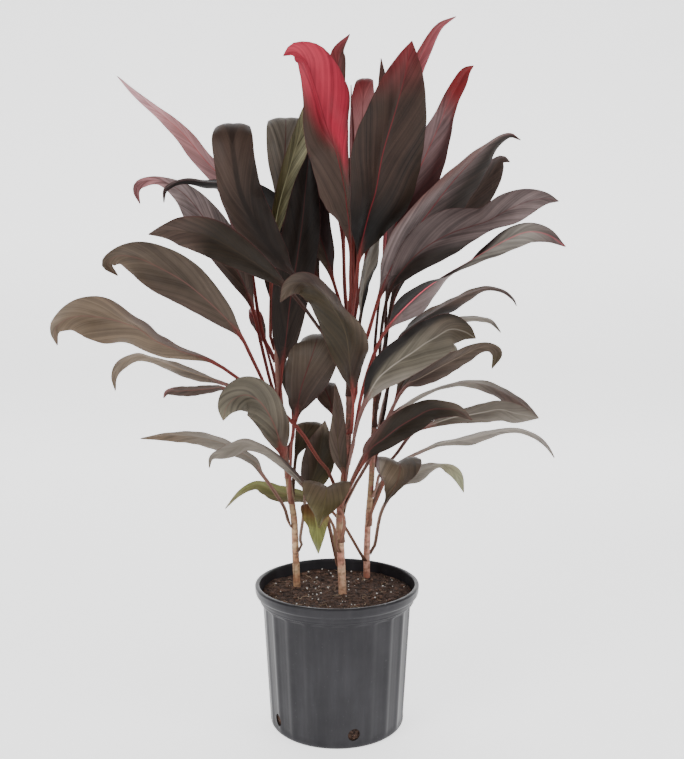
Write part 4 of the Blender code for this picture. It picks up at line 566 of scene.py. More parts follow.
# the dark brown wash over the near part of the blade is painted shade
look("right_thin_arch", WARM_BROWN, (DARK_BROWN, 2.2, 0.8, -4.2), (BROWN, -1.8, 0.4, 2.6),
     slot="leaf_mauve", rib=MAUVE, stalk=DARK_STALK)
look("right_thin_small", PALE_GREY, (GREY, -3.2, 0, 4.0), rib=GREY, stalk=PALE_STALK)
look("right_long_grey", SILVER, (PALE_GREY, 0.5, 0.5, -0.4), (SILVER, -2.2, 0, 3.4), slot="leaf_olive",
     rib=PALE_GREY, stalk=PALE_STALK)
look("right_front_droop", TAN, (SILVER, 1.0, 0.9, -2.2), (GREY_BROWN, 0.6, -1.1, -0.8),
     (OLIVE_BROWN, -2.8, 0, 3.8), slot="leaf_olive", rib=RED_BROWN, under=(PALE_MAUVE,))
look("right_green_tip", PALE_GREY, (PALE_OLIVE, -0.9, 0, 2.4), (PALE_GREEN, -2.0, 0, 3.2),
     slot="leaf_olive", rib=GREY_GREEN, under=(PALE_GREEN,), stalk=PALE_STALK)
look("right_grey_green", GREY, (PALE_GREY, -1.0, 0.9, 2.0), (GREY_BROWN, 0.7, 0.7, -2.0), slot="leaf_olive",
     rib=PALE_GREY, stalk=DUSTY_STALK)
look("right_low_droop", TAN, (OLIVE, -1.2, 0, 2.6), (YELLOW_GREEN, -3.6, 0, 4.2),
     (DULL_RED, -3.2, -2.6, 1.2), slot="leaf_olive", rib=OLIVE)
look("back_right", DARK_BROWN, (BROWN, -0.8, 0.8, 0.8))
look("back_right_low", GREY, (OLIVE, -0.8, 0, 1.6), slot="leaf_olive")
look("mid_low_narrow", WARM_BROWN, (OLIVE_BROWN, 0.5, 0.5, -1.2), (GREY_BROWN, 0.2, -0.9, -0.4),
     rib=OLIVE_BROWN, slot="leaf_olive", veins=1.4)

# Fine meshes
COLUMNS = 13  # points across a blade, an odd number so that one lies on the rib
FINE_STALK_SHARES = tuple(np.linspace(0, 1, 15)[:-1])
FOOT_SHARE = 0.12  # share of the stalk over which it opens into its clasp
FINE_BLADE_STATIONS = 60
RIB_HALF_WIDTH = 0.0028
# from the left edge, -1, over the rib to the right edge, 1, a little closer together near the edges
ACROSS = np.sign(np.linspace(-1, 1, COLUMNS)) * np.abs(np.linspace(-1, 1, COLUMNS)) ** 0.85
VEIN_SLANT = 3.4  # how far a vein runs along the leaf for each step aside
# how closely the leaf's noises lie along it, across it and from leaf to leaf
FINE_VEINS = (210.0, 18.0, 7.3)
VEIN_BANDS = (55.0, 9.0, 3.1)
LEAF_DEPTH = 0.55  # how much of its screen colour a leaf keeps in the studio's strong light
UNDER_GREY = 0.35  # how much greyer an under side is, where it has no colours of its own
# a stalk's colour runs up the blade for this share of it, in a strip this wide along the rib
STALK_TINT_SHARE = 0.12
STALK_TINT_WIDTH = 0.005
# stalks are paler toward the soil, from this height down and fully this much lower
PALE_STALKS_FROM = 0.50
PALE_STALKS_DROP = 0.22


def mix(a, b, share):
    return np.asarray(a) * (1 - share) + np.asarray(b) * share


def smooth(value):
    value = np.clip(value, 0, 1)
    return value * value * (3 - 2 * value)


def angles(count):
    """Even steps round a full circle."""
    return [2 * math.pi * k / count for k in range(count)]


def round_axis(r, angle):
    """The x and y of a point this far from the pot's axis. The angle starts at the viewer's side."""
    return r * math.sin(angle), -r * math.cos(angle)


def ring_faces(rings, around, first=0):
    """Quads between closed rings of points, each stored after the one before, from the index first on."""
    faces = []
    for a in range(first, first + (rings - 1) * around, around):
        for k in range(around):
            n = (k + 1) % around
            faces.append((a + k, a + n, a + around + n, a + around + k))
    return faces


def tube_faces(rings, around, first=0):
    """The ring faces, with a flat face over each end."""
    last = first + (rings - 1) * around
    ends = [tuple(range(first + around - 1, first - 1, -1)), tuple(range(last, last + around))]
    return ring_faces(rings, around, first) + ends


def turned_faces(rings, around):
    """The ring faces, with a fan over each end to a point: one before the first ring, one after the last."""
    faces = ring_faces(rings, around, 1)
    last = 1 + rings * around
    for k in range(around):
        n = (k + 1) % around
        faces += [(0, 1 + n, 1 + k), (last - around + k, last - around + n, last)]
    return faces


def signed_volume(points, faces):
    """Six times the volume inside the faces, negative where they are turned inward."""
    thirds = [(face[0], face[i], face[i + 1]) for face in faces for i in range(1, len(face) - 1)]
    corners = np.array(points)[np.array(thirds)]
    return np.einsum("ij,ij->", corners[:, 0], np.cross(corners[:, 1], corners[:, 2]))


def add_object(name, data):
    obj = bpy.data.objects.new(name, data)
    bpy.context.scene.collection.objects.link(obj)
    return obj


def mesh_object(name, points, faces, materials, closed=True):
    """A smooth shaded object from points and faces, which are turned outward where they close a solid."""
    mesh = bpy.data.meshes.new(name)
    mesh.from_pydata(np.asarray(points, float).tolist(), [], [list(map(int, f)) for f in faces])
    if closed and signed_volume(points, faces) < 0:
        mesh.flip_normals()
    mesh.shade_smooth()
    for material in materials:
        mesh.materials.append(material)
    return add_object(name, mesh)


def finished(obj, slot, *nodes):
    """The piece stands on the plant, for these solids. The slot is not used."""
    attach(obj, "root")
    if nodes:
        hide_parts(*nodes)
    return obj


def point_values(mesh, name, values):
    layer = mesh.attributes.new(name, "FLOAT", "POINT")
    layer.data.foreach_set("value", np.asarray(values, float))


def point_colours(mesh, name, colours):
    layer = mesh.attributes.new(name, "FLOAT_COLOR", "POINT")
    rows = np.ones((len(colours), 4))
    rows[:, :3] = colours
    layer.data.foreach_set("color", rows.reshape(-1))


# Materials

def new_material(name):
    material = bpy.data.materials.new(name)
    material.use_nodes = True
    return material, material.node_tree, material.node_tree.nodes["Principled BSDF"]


def feed(tree, socket, value):
    """Gives an input its value, or links it to the output of another node."""
    if isinstance(value, bpy.types.NodeSocket):
        tree.links.new(value, socket)
    else:
        socket.default_value = value


def put(tree, kind, inputs=None, **settings):
    """A node of this kind. Each input is a value, or the output of another node."""
    node = tree.nodes.new(kind)
    for key, value in settings.items():
        setattr(node, key, value)
    for key, value in (inputs or {}).items():
        feed(tree, node.inputs[key], value)
    return node


def calc(tree, operation, a, b=0.0):
    return put(tree, "ShaderNodeMath", {0: a, 1: b}, operation=operation).outputs[0]


def times(tree, a, b):
    return calc(tree, "MULTIPLY", a, b)


def weighted(tree, *parts):
    """The sum of the values, each with its weight."""
    total = 0.0
    for value, weight in parts:
        total = calc(tree, "ADD", times(tree, value, weight), total)
    return total


def step(tree, value, low, high, bottom=0.0, top=1.0):
    """Eases from bottom to top as the value goes from low to high."""
    inputs = {"Value": value, "From Min": low, "From Max": high, "To Min": bottom, "To Max": top}
    return put(tree, "ShaderNodeMapRange", inputs, interpolation_type="SMOOTHSTEP").outputs["Result"]


def blended(tree, factor, a, b, kind="MIX"):
    node = put(tree, "ShaderNodeMix", {0: factor}, data_type="RGBA", blend_type=kind)
    for index, colour in ((6, a), (7, b)):
        plain = not isinstance(colour, bpy.types.NodeSocket)
        feed(tree, node.inputs[index], (*colour[:3], 1) if plain else colour)
    return node.outputs[2]


def layered(tree, colour, *layers):
    """Colours laid over one another. Each layer is a value, where it begins and where it is whole, how
    strongly it then covers, and its colour."""
    for value, low, high, cover, over in layers:
        colour = blended(tree, step(tree, value, low, high, 0.0, cover), colour, over)
    return colour


def read(tree, name, output="Fac"):
    return put(tree, "ShaderNodeAttribute", attribute_name=name).outputs[output]


def cloud(tree, scale, detail=3.0, where=None, roughness=0.55):
    """Noise from 0 to 1, in the object's own metres unless another vector is given."""
    if where is None:
        where = put(tree, "ShaderNodeTexCoord").outputs["Object"]
    inputs = {"Vector": where, "Scale": scale, "Detail": detail, "Roughness": roughness}
    return put(tree, "ShaderNodeTexNoise", inputs).outputs["Fac"]


def drawn_cloud(tree, sideways, upright):
    """Noise that is drawn out along the object's height."""
    where = put(tree, "ShaderNodeTexCoord").outputs["Object"]
    drawn = put(tree, "ShaderNodeMapping", {"Vector": where, "Scale": (sideways, sideways, upright)})
    return cloud(tree, 1.0, 3.0, drawn.outputs[0])


def vein_cloud(tree, scales, detail, roughness):
    """Noise that is drawn out along the veins, and differs from leaf to leaf."""
    places = (read(tree, "vein_m"), calc(tree, "ABSOLUTE", read(tree, "across_m")), read(tree, "leaf_number"))
    inputs = {i: times(tree, places[i], scales[i]) for i in range(3)}
    return cloud(tree, 1.0, detail, put(tree, "ShaderNodeCombineXYZ", inputs).outputs[0], roughness)


def dress(tree, shader, colour, roughness, specular=None):
    """Gives the shader its colour and roughness, and a constant specular level where it has its own."""
    feed(tree, shader.inputs["Base Color"], colour)
    feed(tree, shader.inputs["Roughness"], roughness)
    if specular is not None:
        shader.inputs["Specular IOR Level"].default_value = specular


def bumped(tree, shader, height, distance, strength):
    bump = put(tree, "ShaderNodeBump", {"Height": height, "Distance": distance, "Strength": strength})
    tree.links.new(bump.outputs["Normal"], shader.inputs["Normal"])


def leaf_material(name, gloss, under=False):
    """A blade's upper or under face: veins that leave the rib at a slant, the rib and the margin."""
    material, tree, shader = new_material(name)
    fine = vein_cloud(tree, FINE_VEINS, 3.0, 0.62)
    bands = vein_cloud(tree, VEIN_BANDS, 2.0, 0.5)
    light = weighted(tree, (fine, 1.1), (bands, 1.3), (cloud(tree, 22.0), 0.6))
    contrast = times(tree, calc(tree, "SUBTRACT", light, 1.5), read(tree, "veins"))
    shade = times(tree, calc(tree, "MAXIMUM", calc(tree, "ADD", 1.0, contrast), 0.25), LEAF_DEPTH)
    shades = put(tree, "ShaderNodeCombineXYZ", {0: shade, 1: shade, 2: shade}).outputs[0]
    tint = read(tree, "under_tint" if under else "tint", "Color")
    colour = blended(tree, 1.0, tint, shades, "MULTIPLY")
    from_rib = calc(tree, "ABSOLUTE", read(tree, "from_rib"))
    rib = times(tree, step(tree, from_rib, 0.0005, 0.0014, 0.6 if under else 1.0, 0.0), read(tree, "rib"))
    colour = blended(tree, rib, colour, read(tree, "rib_tint", "Color"))
    margin = step(tree, read(tree, "edge_m"), 0.0003, 0.0011, 0.4, 0.0)
    colour = blended(tree, margin, colour, DARK_RED)
    rough = step(tree, light, 0.9, 2.1, gloss - 0.06, gloss + 0.12)
    dress(tree, shader, colour, rough, 0.12 if under else 0.16)
    bumped(tree, shader, weighted(tree, (fine, 1), (bands, 0.8)), 0.0006, 0.2 if under else 0.6)
    return material


LEAF_GLOSS = {"leaf_dark": 0.42, "leaf_red": 0.45, "leaf_mauve": 0.46, "leaf_olive": 0.48}


def leaf_materials():
    """For each finish, the materials of the upper and the under face."""
    return {slot: (leaf_material(slot + "_face", gloss), leaf_material(slot + "_under", gloss + 0.12, True))
            for slot, gloss in LEAF_GLOSS.items()}


# Leaves

def leaf_path(one, stalk_shares, blade_shares):
    """Points, tangents, upward normals and half widths along a leaf, with how far each is into the blade."""
    foot_axis, foot_radius = one["cane"].at(one["foot"] * CM)
    route = [sight(*row[:3]) for row in one["stalk"] + one["blade"]]
    outward = route[0] - foot_axis
    outward[2] = 0
    outward = unit(outward)
    # as on the solids, where the flats of an eight-sided cane are nearer to its axis than its corners
    clasp = (foot_radius + GAP) / math.cos(math.radians(25))
    foot = foot_axis + outward * (clasp + CLASP_THICKNESS / 2)
    rise = foot + outward * CLASP_SPREAD + np.array([0, 0, CLASP_RISE])

    def facing(point, tangent):
        if one["faces"] == OVER:
            aside = unit(np.array([1.0, 0, 0]) - tangent * tangent[0])
            return np.cross(aside, tangent), aside
        toward = np.array([0, 0, 1.0]) if one["faces"] == SKY else unit(EYE - point)
        ahead = unit(toward - tangent * np.dot(toward, tangent))
        return ahead, np.cross(tangent, ahead)

    first_tangent = unit(np.array([outward[0] * 0.3, outward[1] * 0.3, 1.0]))
    ahead, aside = facing(foot, first_tangent)
    blade_turn = one["blade"][0][4]
    foot_turn = math.degrees(math.atan2(np.dot(-outward, aside), np.dot(-outward, ahead)))
    foot_turn = blade_turn + (foot_turn - blade_turn + 180) % 360 - 180
    turns = np.linspace(foot_turn, blade_turn, len(one["stalk"]) + 3)
    rows = [[*foot, turns[0], STALK_FOOT_HALF_WIDTH], [*rise, turns[1], STALK_FOOT_HALF_WIDTH]]
    for i in range(len(one["stalk"])):
        rows.append([*route[i], turns[2 + i], STALK_HALF_WIDTH])
    for point, row in zip(route[len(one["stalk"]):], one["blade"]):
        rows.append([*point, row[4], row[3] * CM])
    knots = smooth_route(rows, [0, 1])[1]
    neck = knots[2 + len(one["stalk"])]
    shares = np.concatenate([neck * np.asarray(stalk_shares), neck + (1 - neck) * np.asarray(blade_shares)])
    samples = smooth_route(rows, shares)[0]
    after = smooth_route(rows, np.clip(shares + ALONG_STEP, 0, 1))[0]
    before = smooth_route(rows, np.clip(shares - ALONG_STEP, 0, 1))[0]
    tangents = [unit(b[:3] - a[:3]) for a, b in zip(before, after)]
    tangents[0] = first_tangent
    normals = []
    for sample, tangent in zip(samples, tangents):
        ahead, aside = facing(sample[:3], tangent)
        turn = math.radians(sample[3])
        normals.append(ahead * math.cos(turn) + aside * math.sin(turn))
    into_blade = np.clip((shares - neck) / (1 - neck), 0, 1)
    half_widths = np.maximum(samples[:, 4], TIP_HALF_WIDTH)
    return samples[:, :3], tangents, normals, half_widths, into_blade, (foot_axis, outward, clasp)


def cross_section(centre, tangent, normal, half_width, into_blade, fold, lifts, ripple):
    """Upper points from the left edge to the right edge, then the lower ones back."""
    right = np.cross(tangent, normal)
    mixed = min(1, into_blade / BLADE_START)
    # a narrow tip is nearly flat
    angle = STALK_FOLD * (1 - mixed) + fold * mixed * min(1, half_width / FLAT_TIP)
    rib = STALK_THICKNESS * (1 - mixed) + RIB_THICKNESS * mixed
    edge = STALK_EDGE * (1 - mixed) + EDGE_THICKNESS * mixed
    c, s = math.cos(angle), math.sin(angle)
    a, far = ACROSS, np.abs(ACROSS)
    bow = BOW * mixed * half_width * np.sin(math.pi * far)
    lift = np.where(a < 0, lifts[0], lifts[1]) * far**1.5 + np.where(a < 0, ripple[0], ripple[1]) * far**3
    height = half_width * s * far + lift + bow
    middle = centre + np.outer(half_width * c * a, right) + np.outer(height, normal)
    on_rib = np.exp(-(far * half_width / RIB_HALF_WIDTH) ** 2)
    thick = edge * (1 - 0.4 * far**4) + (rib - edge) * on_rib
    slant = c * normal - np.outer(np.sign(a) * np.minimum(1, 3 * far) * s, right)
    slant /= np.linalg.norm(slant, axis=1)[:, None]
    # the rib stands out more below than above
    upper = middle + slant * (thick * (0.5 - 0.15 * on_rib))[:, None]
    lower = middle - slant * (thick * (0.5 + 0.15 * on_rib))[:, None]
    return np.concatenate([upper, lower[::-1]])


def clasp_section(foot_axis, outward, clasp):
    """The leaf's foot, an arc round the cane, in the order of the other sections."""
    right = np.cross(np.array([0, 0, 1.0]), -outward)
    inner, outer = [], []
    for a in np.linspace(-1, 1, COLUMNS):
        direction = outward * math.cos(CLASP_ARC * a) + right * math.sin(CLASP_ARC * a)
        inner.append(foot_axis + direction * clasp)
        outer.append(foot_axis + direction * (clasp + CLASP_THICKNESS))
    return np.array(inner + outer[::-1])


def fine_sections(one):
    """A leaf's sections from its foot to its tip, with their centres, half widths and shares of the blade."""
    blade_shares = np.linspace(0, 1, FINE_BLADE_STATIONS)
    points, tangents, normals, half_widths, into, foot = leaf_path(one, FINE_STALK_SHARES, blade_shares)
    draw = random.Random(one["name"])
    phases = draw.uniform(0, 2 * math.pi), draw.uniform(0, 2 * math.pi)
    ripples = [(draw.uniform(0, 2 * math.pi), draw.uniform(6, 9)) for _ in phases]
    sections = [clasp_section(*foot)]
    for i in range(1, len(points)):
        b = into[i]
        ends = min(1, half_widths[i] / WAVE_FULL_WIDTH) * min(1, 4 * b) * min(1, 4 * (1 - b))
        turn = 2 * math.pi * b
        lifts = [WAVE_HEIGHT * ends * math.sin(turn * WAVES + phase) for phase in phases]
        ripple = [RIPPLE_HEIGHT * ends * math.sin(turn * count + phase) for phase, count in ripples]
        sections.append(cross_section(points[i], tangents[i], normals[i], half_widths[i], b, one["fold"],
                                      lifts, ripple))
    # the foot opens gradually into its arc, as the solid's straight first stretch does
    whole = np.searchsorted(np.array(FINE_STALK_SHARES), FOOT_SHARE)
    for i in range(1, whole):
        sections[i] = mix(sections[0], sections[whole], i / whole)
    return sections, points, half_widths, into


def leaf_faces(count, around):
    """Quads between sections, and a strip across each end."""
    strip = [(k, k + 1, around - 2 - k, around - 1 - k) for k in range(around // 2 - 1)]
    last = around * (count - 1)
    ends = [face[::-1] for face in strip] + [tuple(last + p for p in face) for face in strip]
    return ring_faces(count, around) + ends


def painted(main, washes, across, along):
    """Each point's colour: the washes over the main one."""
    colours = np.tile(main, (len(across), 1)).astype(float)
    for colour, offset, by_across, by_along in washes:
        share = smooth(offset + by_across * across + by_along * along)[:, None]
        colours = mix(colours, colour, share)
    return colours


def leaf_tints(looks, number, across, along, on_stalk, height):
    """The colours of each point's upper and under side, with the stalk's own colour where it is stalk."""
    upper = painted(looks["main"], looks["washes"], across, along)
    if looks["under"]:
        lower = painted(looks["under"][0], looks["under"][1:], across, along)
    else:
        lower = mix(upper, GREY_GREEN, UNDER_GREY)
    # each stalk is a little lighter or darker than the next, and paler near the soil
    stem = np.array(looks["stalk"]) * (0.85 + 0.1 * (number % 4))
    stem = mix(stem, STALK_FOOT, smooth((PALE_STALKS_FROM - height) / PALE_STALKS_DROP)[:, None] * 0.8)
    share = smooth(on_stalk)[:, None]
    return mix(upper, stem, share), mix(lower, stem, share)


def inside_box(section):
    """The section, moved as a whole where it would stand out of the solids' box."""
    under = np.maximum(0, np.array(CAD_BOX[0]) - section.min(axis=0))
    over = np.maximum(0, section.max(axis=0) - np.array(CAD_BOX[1]))
    return section + under - over


def make_leaf(one, number, materials):
    looks = LOOKS[one["name"]]
    sections, points, half_widths, into = fine_sections(one)
    around = 2 * COLUMNS
    corners = np.concatenate([inside_box(section) for section in sections])
    obj = mesh_object(one["name"].replace("leaf_", "blade_"), corners, leaf_faces(len(sections), around),
                      materials[looks["slot"]])
    mesh = obj.data
    run = np.concatenate([[0], np.cumsum(np.linalg.norm(np.diff(points, axis=0), axis=1))])
    along_m, half, along, height = (np.repeat(v, around) for v in (run, half_widths, into, points[:, 2]))
    across = np.tile(np.concatenate([ACROSS, ACROSS[::-1]]), len(sections))
    aside = across * half
    # the stalk's colour runs a little way up the blade, along the rib
    on_stalk = np.clip(1 - along / STALK_TINT_SHARE, 0, 1)
    on_stalk *= np.exp(-(aside / STALK_TINT_WIDTH) ** 2 * (along > 0))
    values = {
        "across_m": aside,
        "from_rib": aside / looks["rib_width"],
        # veins leave the rib at a slant, and run straight along the stalk
        "vein_m": mix(along_m - VEIN_SLANT * np.abs(aside), 6 * aside + 0.12 * along_m, on_stalk),
        "edge_m": half * (1 - np.abs(across)) + 0.002 * on_stalk,
        "leaf_number": np.full(len(across), float(number)),
        "veins": looks["veins"] * (1 - 0.2 * on_stalk),
        # the rib thins out toward the tip
        "rib": 0.8 * (1 - 0.65 * smooth((along - 0.35) / 0.6)) * (1 - 0.6 * on_stalk),
    }
    for key, numbers in values.items():
        point_values(mesh, key, numbers)
    tints, under_tints = leaf_tints(looks, number, across, along, on_stalk, height)
    point_colours(mesh, "tint", tints)
    point_colours(mesh, "under_tint", under_tints)
    point_colours(mesh, "rib_tint", np.tile(looks["rib"], (len(across), 1)))
    # faces between two upper points take the upper material
    index = np.empty(len(mesh.polygons) * 4, np.int32)
    mesh.polygons.foreach_get("vertices", index)
    is_upper = (index.reshape(-1, 4) % around < COLUMNS).all(axis=1)
    mesh.polygons.foreach_set("material_index", np.where(is_upper, 0, 1).astype(np.int32))
    sharpen(mesh, is_upper)
    return finished(obj, looks["slot"], one["name"])


def sharpen(mesh, is_upper):
    """Marks the edges where the upper and the under face meet, so that each is shaded on its own."""
    edges = np.empty(len(mesh.loops), np.int32)
    mesh.loops.foreach_get("edge_index", edges)
    upper_sides = np.bincount(edges, weights=np.repeat(is_upper, 4), minlength=len(mesh.edges))
    mesh.edges.foreach_set("use_edge_sharp", upper_sides == 1)


# Pot

def wall_radius(z):
    """The pot wall's outer radius under the band."""
    return WALL_FOOT_RADIUS + (WALL_TOP_RADIUS - WALL_FOOT_RADIUS) * z / BAND_FOOT_HEIGHT


def inner_radius(z):
    return wall_radius(z) - POT_WALL


def band_radius(z, top):
    """The radius of the band at z, where top is the height at which it reaches its full width."""
    share = (z - BAND_FOOT_HEIGHT) / (top - BAND_FOOT_HEIGHT)
    return BAND_FOOT_RADIUS + (BAND_TOP_RADIUS - BAND_FOOT_RADIUS) * share


def flute_inset(angle, z):
    """How far the wall is pressed in: nothing on a ridge, all in a flute, with an arched top."""
    phase = ((angle - FLUTE_TURN) * FLUTES / (2 * math.pi)) % 1
    near = min(phase, 1 - phase)
    across = smooth(near / 0.3) * (0.65 + 0.7 * near)
    arch = WALL_TOP - 0.0005 - 0.002 * (1 - 2 * near) ** 2
    high = smooth((arch - z) / 0.003)
    low = smooth((z - 0.003) / 0.012)
    return FLUTE_DEPTH * across * low * high


def arc(r, z, radius, start, end, steps):
    """Points on a circle round (r, z), by degrees from outward."""
    turns = np.radians(np.linspace(start, end, steps))
    return [(r + radius * math.cos(t), z + radius * math.sin(t)) for t in turns]


def pot_inside():
    """From the middle of the floor up to the rim, as radii and heights."""
    corner = inner_radius(0) - FOOT_ROUNDING, POT_WALL + FOOT_ROUNDING
    line = [(r, POT_WALL) for r in (0, *FLOOR_RINGS)] + arc(*corner, FOOT_ROUNDING, -90, 0, 5)
    line += [(inner_radius(z), z) for z in np.linspace(0.012, WALL_TOP, 12)]
    line += [(BAND_FOOT_RADIUS - POT_WALL, SHOULDER)]
    heights = np.linspace(SHOULDER + 0.001, POT_HEIGHT - 0.002, 8)
    return line + [(band_radius(z, POT_HEIGHT) - POT_WALL, z) for z in heights]


def pot_outside():
    """Over the rim, down the lip, the band and the wall, and under the foot to its middle."""
    line = arc(BAND_TOP_RADIUS - POT_WALL + 0.002, POT_HEIGHT - 0.002, 0.002, 160, 90, 4)
    line += arc(RIM_RADIUS - 0.003, POT_HEIGHT - 0.003, 0.003, 85, -20, 9)
    line += [(RIM_RADIUS - inset, POT_HEIGHT - depth) for inset, depth in LIP_SIDE]
    under = LIP_FOOT - 0.0006
    line += [(BAND_TOP_RADIUS + 0.0010, under), (BAND_TOP_RADIUS + 0.0001, under - 0.0004)]
    for z in np.linspace(under - 0.002, BAND_FOOT_HEIGHT + 0.0035, 9):
        belly = 0.0004 * math.sin(math.pi * (z - BAND_FOOT_HEIGHT) / (LIP_FOOT - BAND_FOOT_HEIGHT))
        line.append((band_radius(z, LIP_FOOT) + belly, z))
    line += arc(BAND_FOOT_RADIUS - 0.0015, BAND_FOOT_HEIGHT + 0.0005, 0.0017, 25, -80, 6)
    line += [(wall_radius(FLUTES_TOP) + 0.0009, FLUTES_TOP), (wall_radius(WALL_TOP), WALL_TOP + 0.0005)]
    # close rings at the arched tops of the flutes and at the foot, wider ones between
    for high, low, count in ((WALL_TOP - 0.0005, WALL_TOP - 0.019, 18), (WALL_TOP - 0.024, 0.024, 20),
                             (0.020, FOOT_ROUNDING, 8)):
        line += [(wall_radius(z), z) for z in np.linspace(high, low, count)]
    line += arc(wall_radius(0.003) - FOOT_ROUNDING, FOOT_ROUNDING, FOOT_ROUNDING, -12, -90, 6)
    return line + [(r, 0) for r in (*FLOOR_RINGS[::-1], 0)]


def make_pot():
    inside, outside = pot_inside(), pot_outside()
    steps = FLUTES * FLUTE_POINTS
    rings = (inside + outside)[1:-1]
    points = [(0, 0, POT_WALL)]
    for i, (r, z) in enumerate(rings):
        outer_wall = i >= len(inside) and r > 0.09 and z < FLUTES_TOP
        for angle in angles(steps):
            reach = r - (flute_inset(angle, z) if outer_wall else 0)
            points.append((*round_axis(reach, angle), z))
    points.append((0, 0, 0))
    pot = mesh_object("nursery_pot", points, turned_faces(len(rings), steps), [pot_material()])
    cutters = [drain_cutter(DRAIN_TURN + i * 2 * math.pi / DRAIN_HOLES) for i in range(DRAIN_HOLES)]
    for cutter in cutters:
        boolean = pot.modifiers.new("Hole", "BOOLEAN")
        boolean.operation = "DIFFERENCE"
        boolean.solver = "EXACT"
        boolean.object = cutter
    apply_modifiers(pot)
    for cutter in cutters:
        bpy.data.objects.remove(cutter, do_unlink=True)
    pot.data.set_sharp_from_angle(angle=math.radians(50))
    return finished(pot, "pot_plastic", "pot")


def drain_cutter(angle):
    place = (*round_axis(wall_radius(DRAIN_HEIGHT), angle), DRAIN_HEIGHT)
    bpy.ops.mesh.primitive_cylinder_add(vertices=32, radius=DRAIN_RADIUS, depth=0.02, location=place,
                                        rotation=(math.pi / 2, 0, angle))
    return bpy.context.object


def apply_modifiers(obj):
    bpy.context.view_layer.update()
    graph = bpy.context.evaluated_depsgraph_get()
    mesh = bpy.data.meshes.new_from_object(obj.evaluated_get(graph))
    obj.modifiers.clear()
    obj.data = mesh


def pot_material():
    """Blow-moulded plastic: dark grey, satin, with drawn streaks and scuffs."""
    material, tree, shader = new_material("pot_plastic")
    streaks = drawn_cloud(tree, 60.0, 5.0)
    patches = cloud(tree, 14.0)
    scuffs = cloud(tree, 260.0, 2.0)
    colour = layered(tree, srgb(40, 39, 42),
                     (patches, 0.3, 0.7, 1, srgb(49, 48, 51)),
                     (streaks, 0.45, 0.8, 0.35, srgb(66, 65, 68)),
                     (scuffs, 0.66, 0.75, 0.25, srgb(80, 80, 82)))
    dress(tree, shader, colour, step(tree, streaks, 0.2, 0.8, 0.28, 0.4), 0.16)
    bumped(tree, shader, weighted(tree, (streaks, 0.6), (scuffs, 0.4)), 0.0004, 0.5)
    return material


# Soil

def soil_bumps():
    """Slow waves of the soil's surface: their pace along x and y, and where each starts."""
    draw = random.Random("soil")
    ranges = (SOIL_WAVE_PACES, SOIL_WAVE_PACES, (0, 2 * math.pi), (0, 2 * math.pi))
    return [[draw.uniform(*limits) for limits in ranges] for _ in range(SOIL_WAVES)]


SOIL_BUMPS = soil_bumps()


def soil_height(x, y):
    height = sum(math.sin(a * x + c) * math.cos(b * y + d) for a, b, c, d in SOIL_BUMPS) / 3
    lumps = noise.fractal(Vector((x * 90, y * 90, 3.0)), 1.0, 2.2, 4)
    height = max(-1.1, min(1.1, height))
    return SOIL_LEVEL + SOIL_ROUGHNESS * height + SOIL_LUMPS * max(-1.2, min(1.2, lumps))


def soil_side():
    """The soil's outer side from the top down, inside the pot."""
    edge = BAND_FOOT_RADIUS - POT_WALL - 2 * GAP
    inset = FLUTE_DEPTH + 2 * GAP
    side_top = SOIL_LEVEL - 0.002
    lean = (BAND_TOP_RADIUS - BAND_FOOT_RADIUS) / (LIP_FOOT - SHOULDER)
    side = [(edge + lean * (side_top - SHOULDER) - GAP, side_top), (edge, SHOULDER + GAP)]
    side += [(inner_radius(WALL_TOP) - inset, WALL_TOP + GAP)]
    for stretch in ((0.17, 0.05, 5), (0.044, 0.012, 14)):
        side += [(inner_radius(z) - inset, z) for z in np.linspace(*stretch)]
    return side + [(inner_radius(0) - FOOT_ROUNDING - inset, POT_WALL + GAP)]


SOIL_SIDE = soil_side()
SOIL_RADIUS = SOIL_SIDE[0][0]


def make_soil():
    points = [(0, 0, soil_height(0, 0))]
    for i in range(1, SOIL_RINGS + 1):
        for angle in angles(SOIL_STEPS):
            x, y = round_axis(SOIL_RADIUS * i / SOIL_RINGS, angle)
            points.append((x, y, soil_height(x, y) - (0.0015 if i == SOIL_RINGS else 0)))
    for r, z in SOIL_SIDE[1:]:
        for angle in angles(SOIL_STEPS):
            x, y = round_axis(r, angle)
            dent = SOIL_DENTS * max(0, noise.fractal(Vector((x * 220, y * 220, z * 220)), 1.0, 2.0, 3))
            points.append((x * (1 - dent / r), y * (1 - dent / r), z))
    points.append((0, 0, POT_WALL + GAP))
    faces = turned_faces(SOIL_RINGS + len(SOIL_SIDE) - 1, SOIL_STEPS)
    return finished(mesh_object("potting_mix", points, faces, [soil_material()]), "potting_mix", "soil")


def soil_material():
    """Dark peat with paler grains and a few white specks."""
    material, tree, shader = new_material("potting_mix")
    lumps = cloud(tree, 160.0, 4.0, roughness=0.7)
    grains = cloud(tree, 520.0, 3.0, roughness=0.7)
    colour = layered(tree, srgb(32, 23, 20), (lumps, 0.35, 0.7, 1, srgb(92, 70, 59)),
                     (grains, 0.5, 0.72, 0.5, srgb(124, 98, 84)))
    speck = put(tree, "ShaderNodeTexVoronoi", {"Scale": 330.0}).outputs
    chosen = step(tree, put(tree, "ShaderNodeSeparateColor", {0: speck["Color"]}).outputs[0], 0.97, 0.98)
    white = times(tree, step(tree, speck["Distance"], 0.16, 0.3, 1.0, 0.0), chosen)
    colour = blended(tree, white, colour, srgb(205, 200, 192))
    dress(tree, shader, colour, 0.92, 0.2)
    bumped(tree, shader, weighted(tree, (lumps, 1), (grains, 0.5)), 0.003, 0.9)
    return material


STEMS = [cane.at(SOIL_LEVEL) for cane in CANES]


def near_stem(x, y, margin):
    """Whether a place on the soil lies within the margin of a cane."""
    return any(math.hypot(x - p[0], y - p[1]) < radius + margin for p, radius in STEMS)


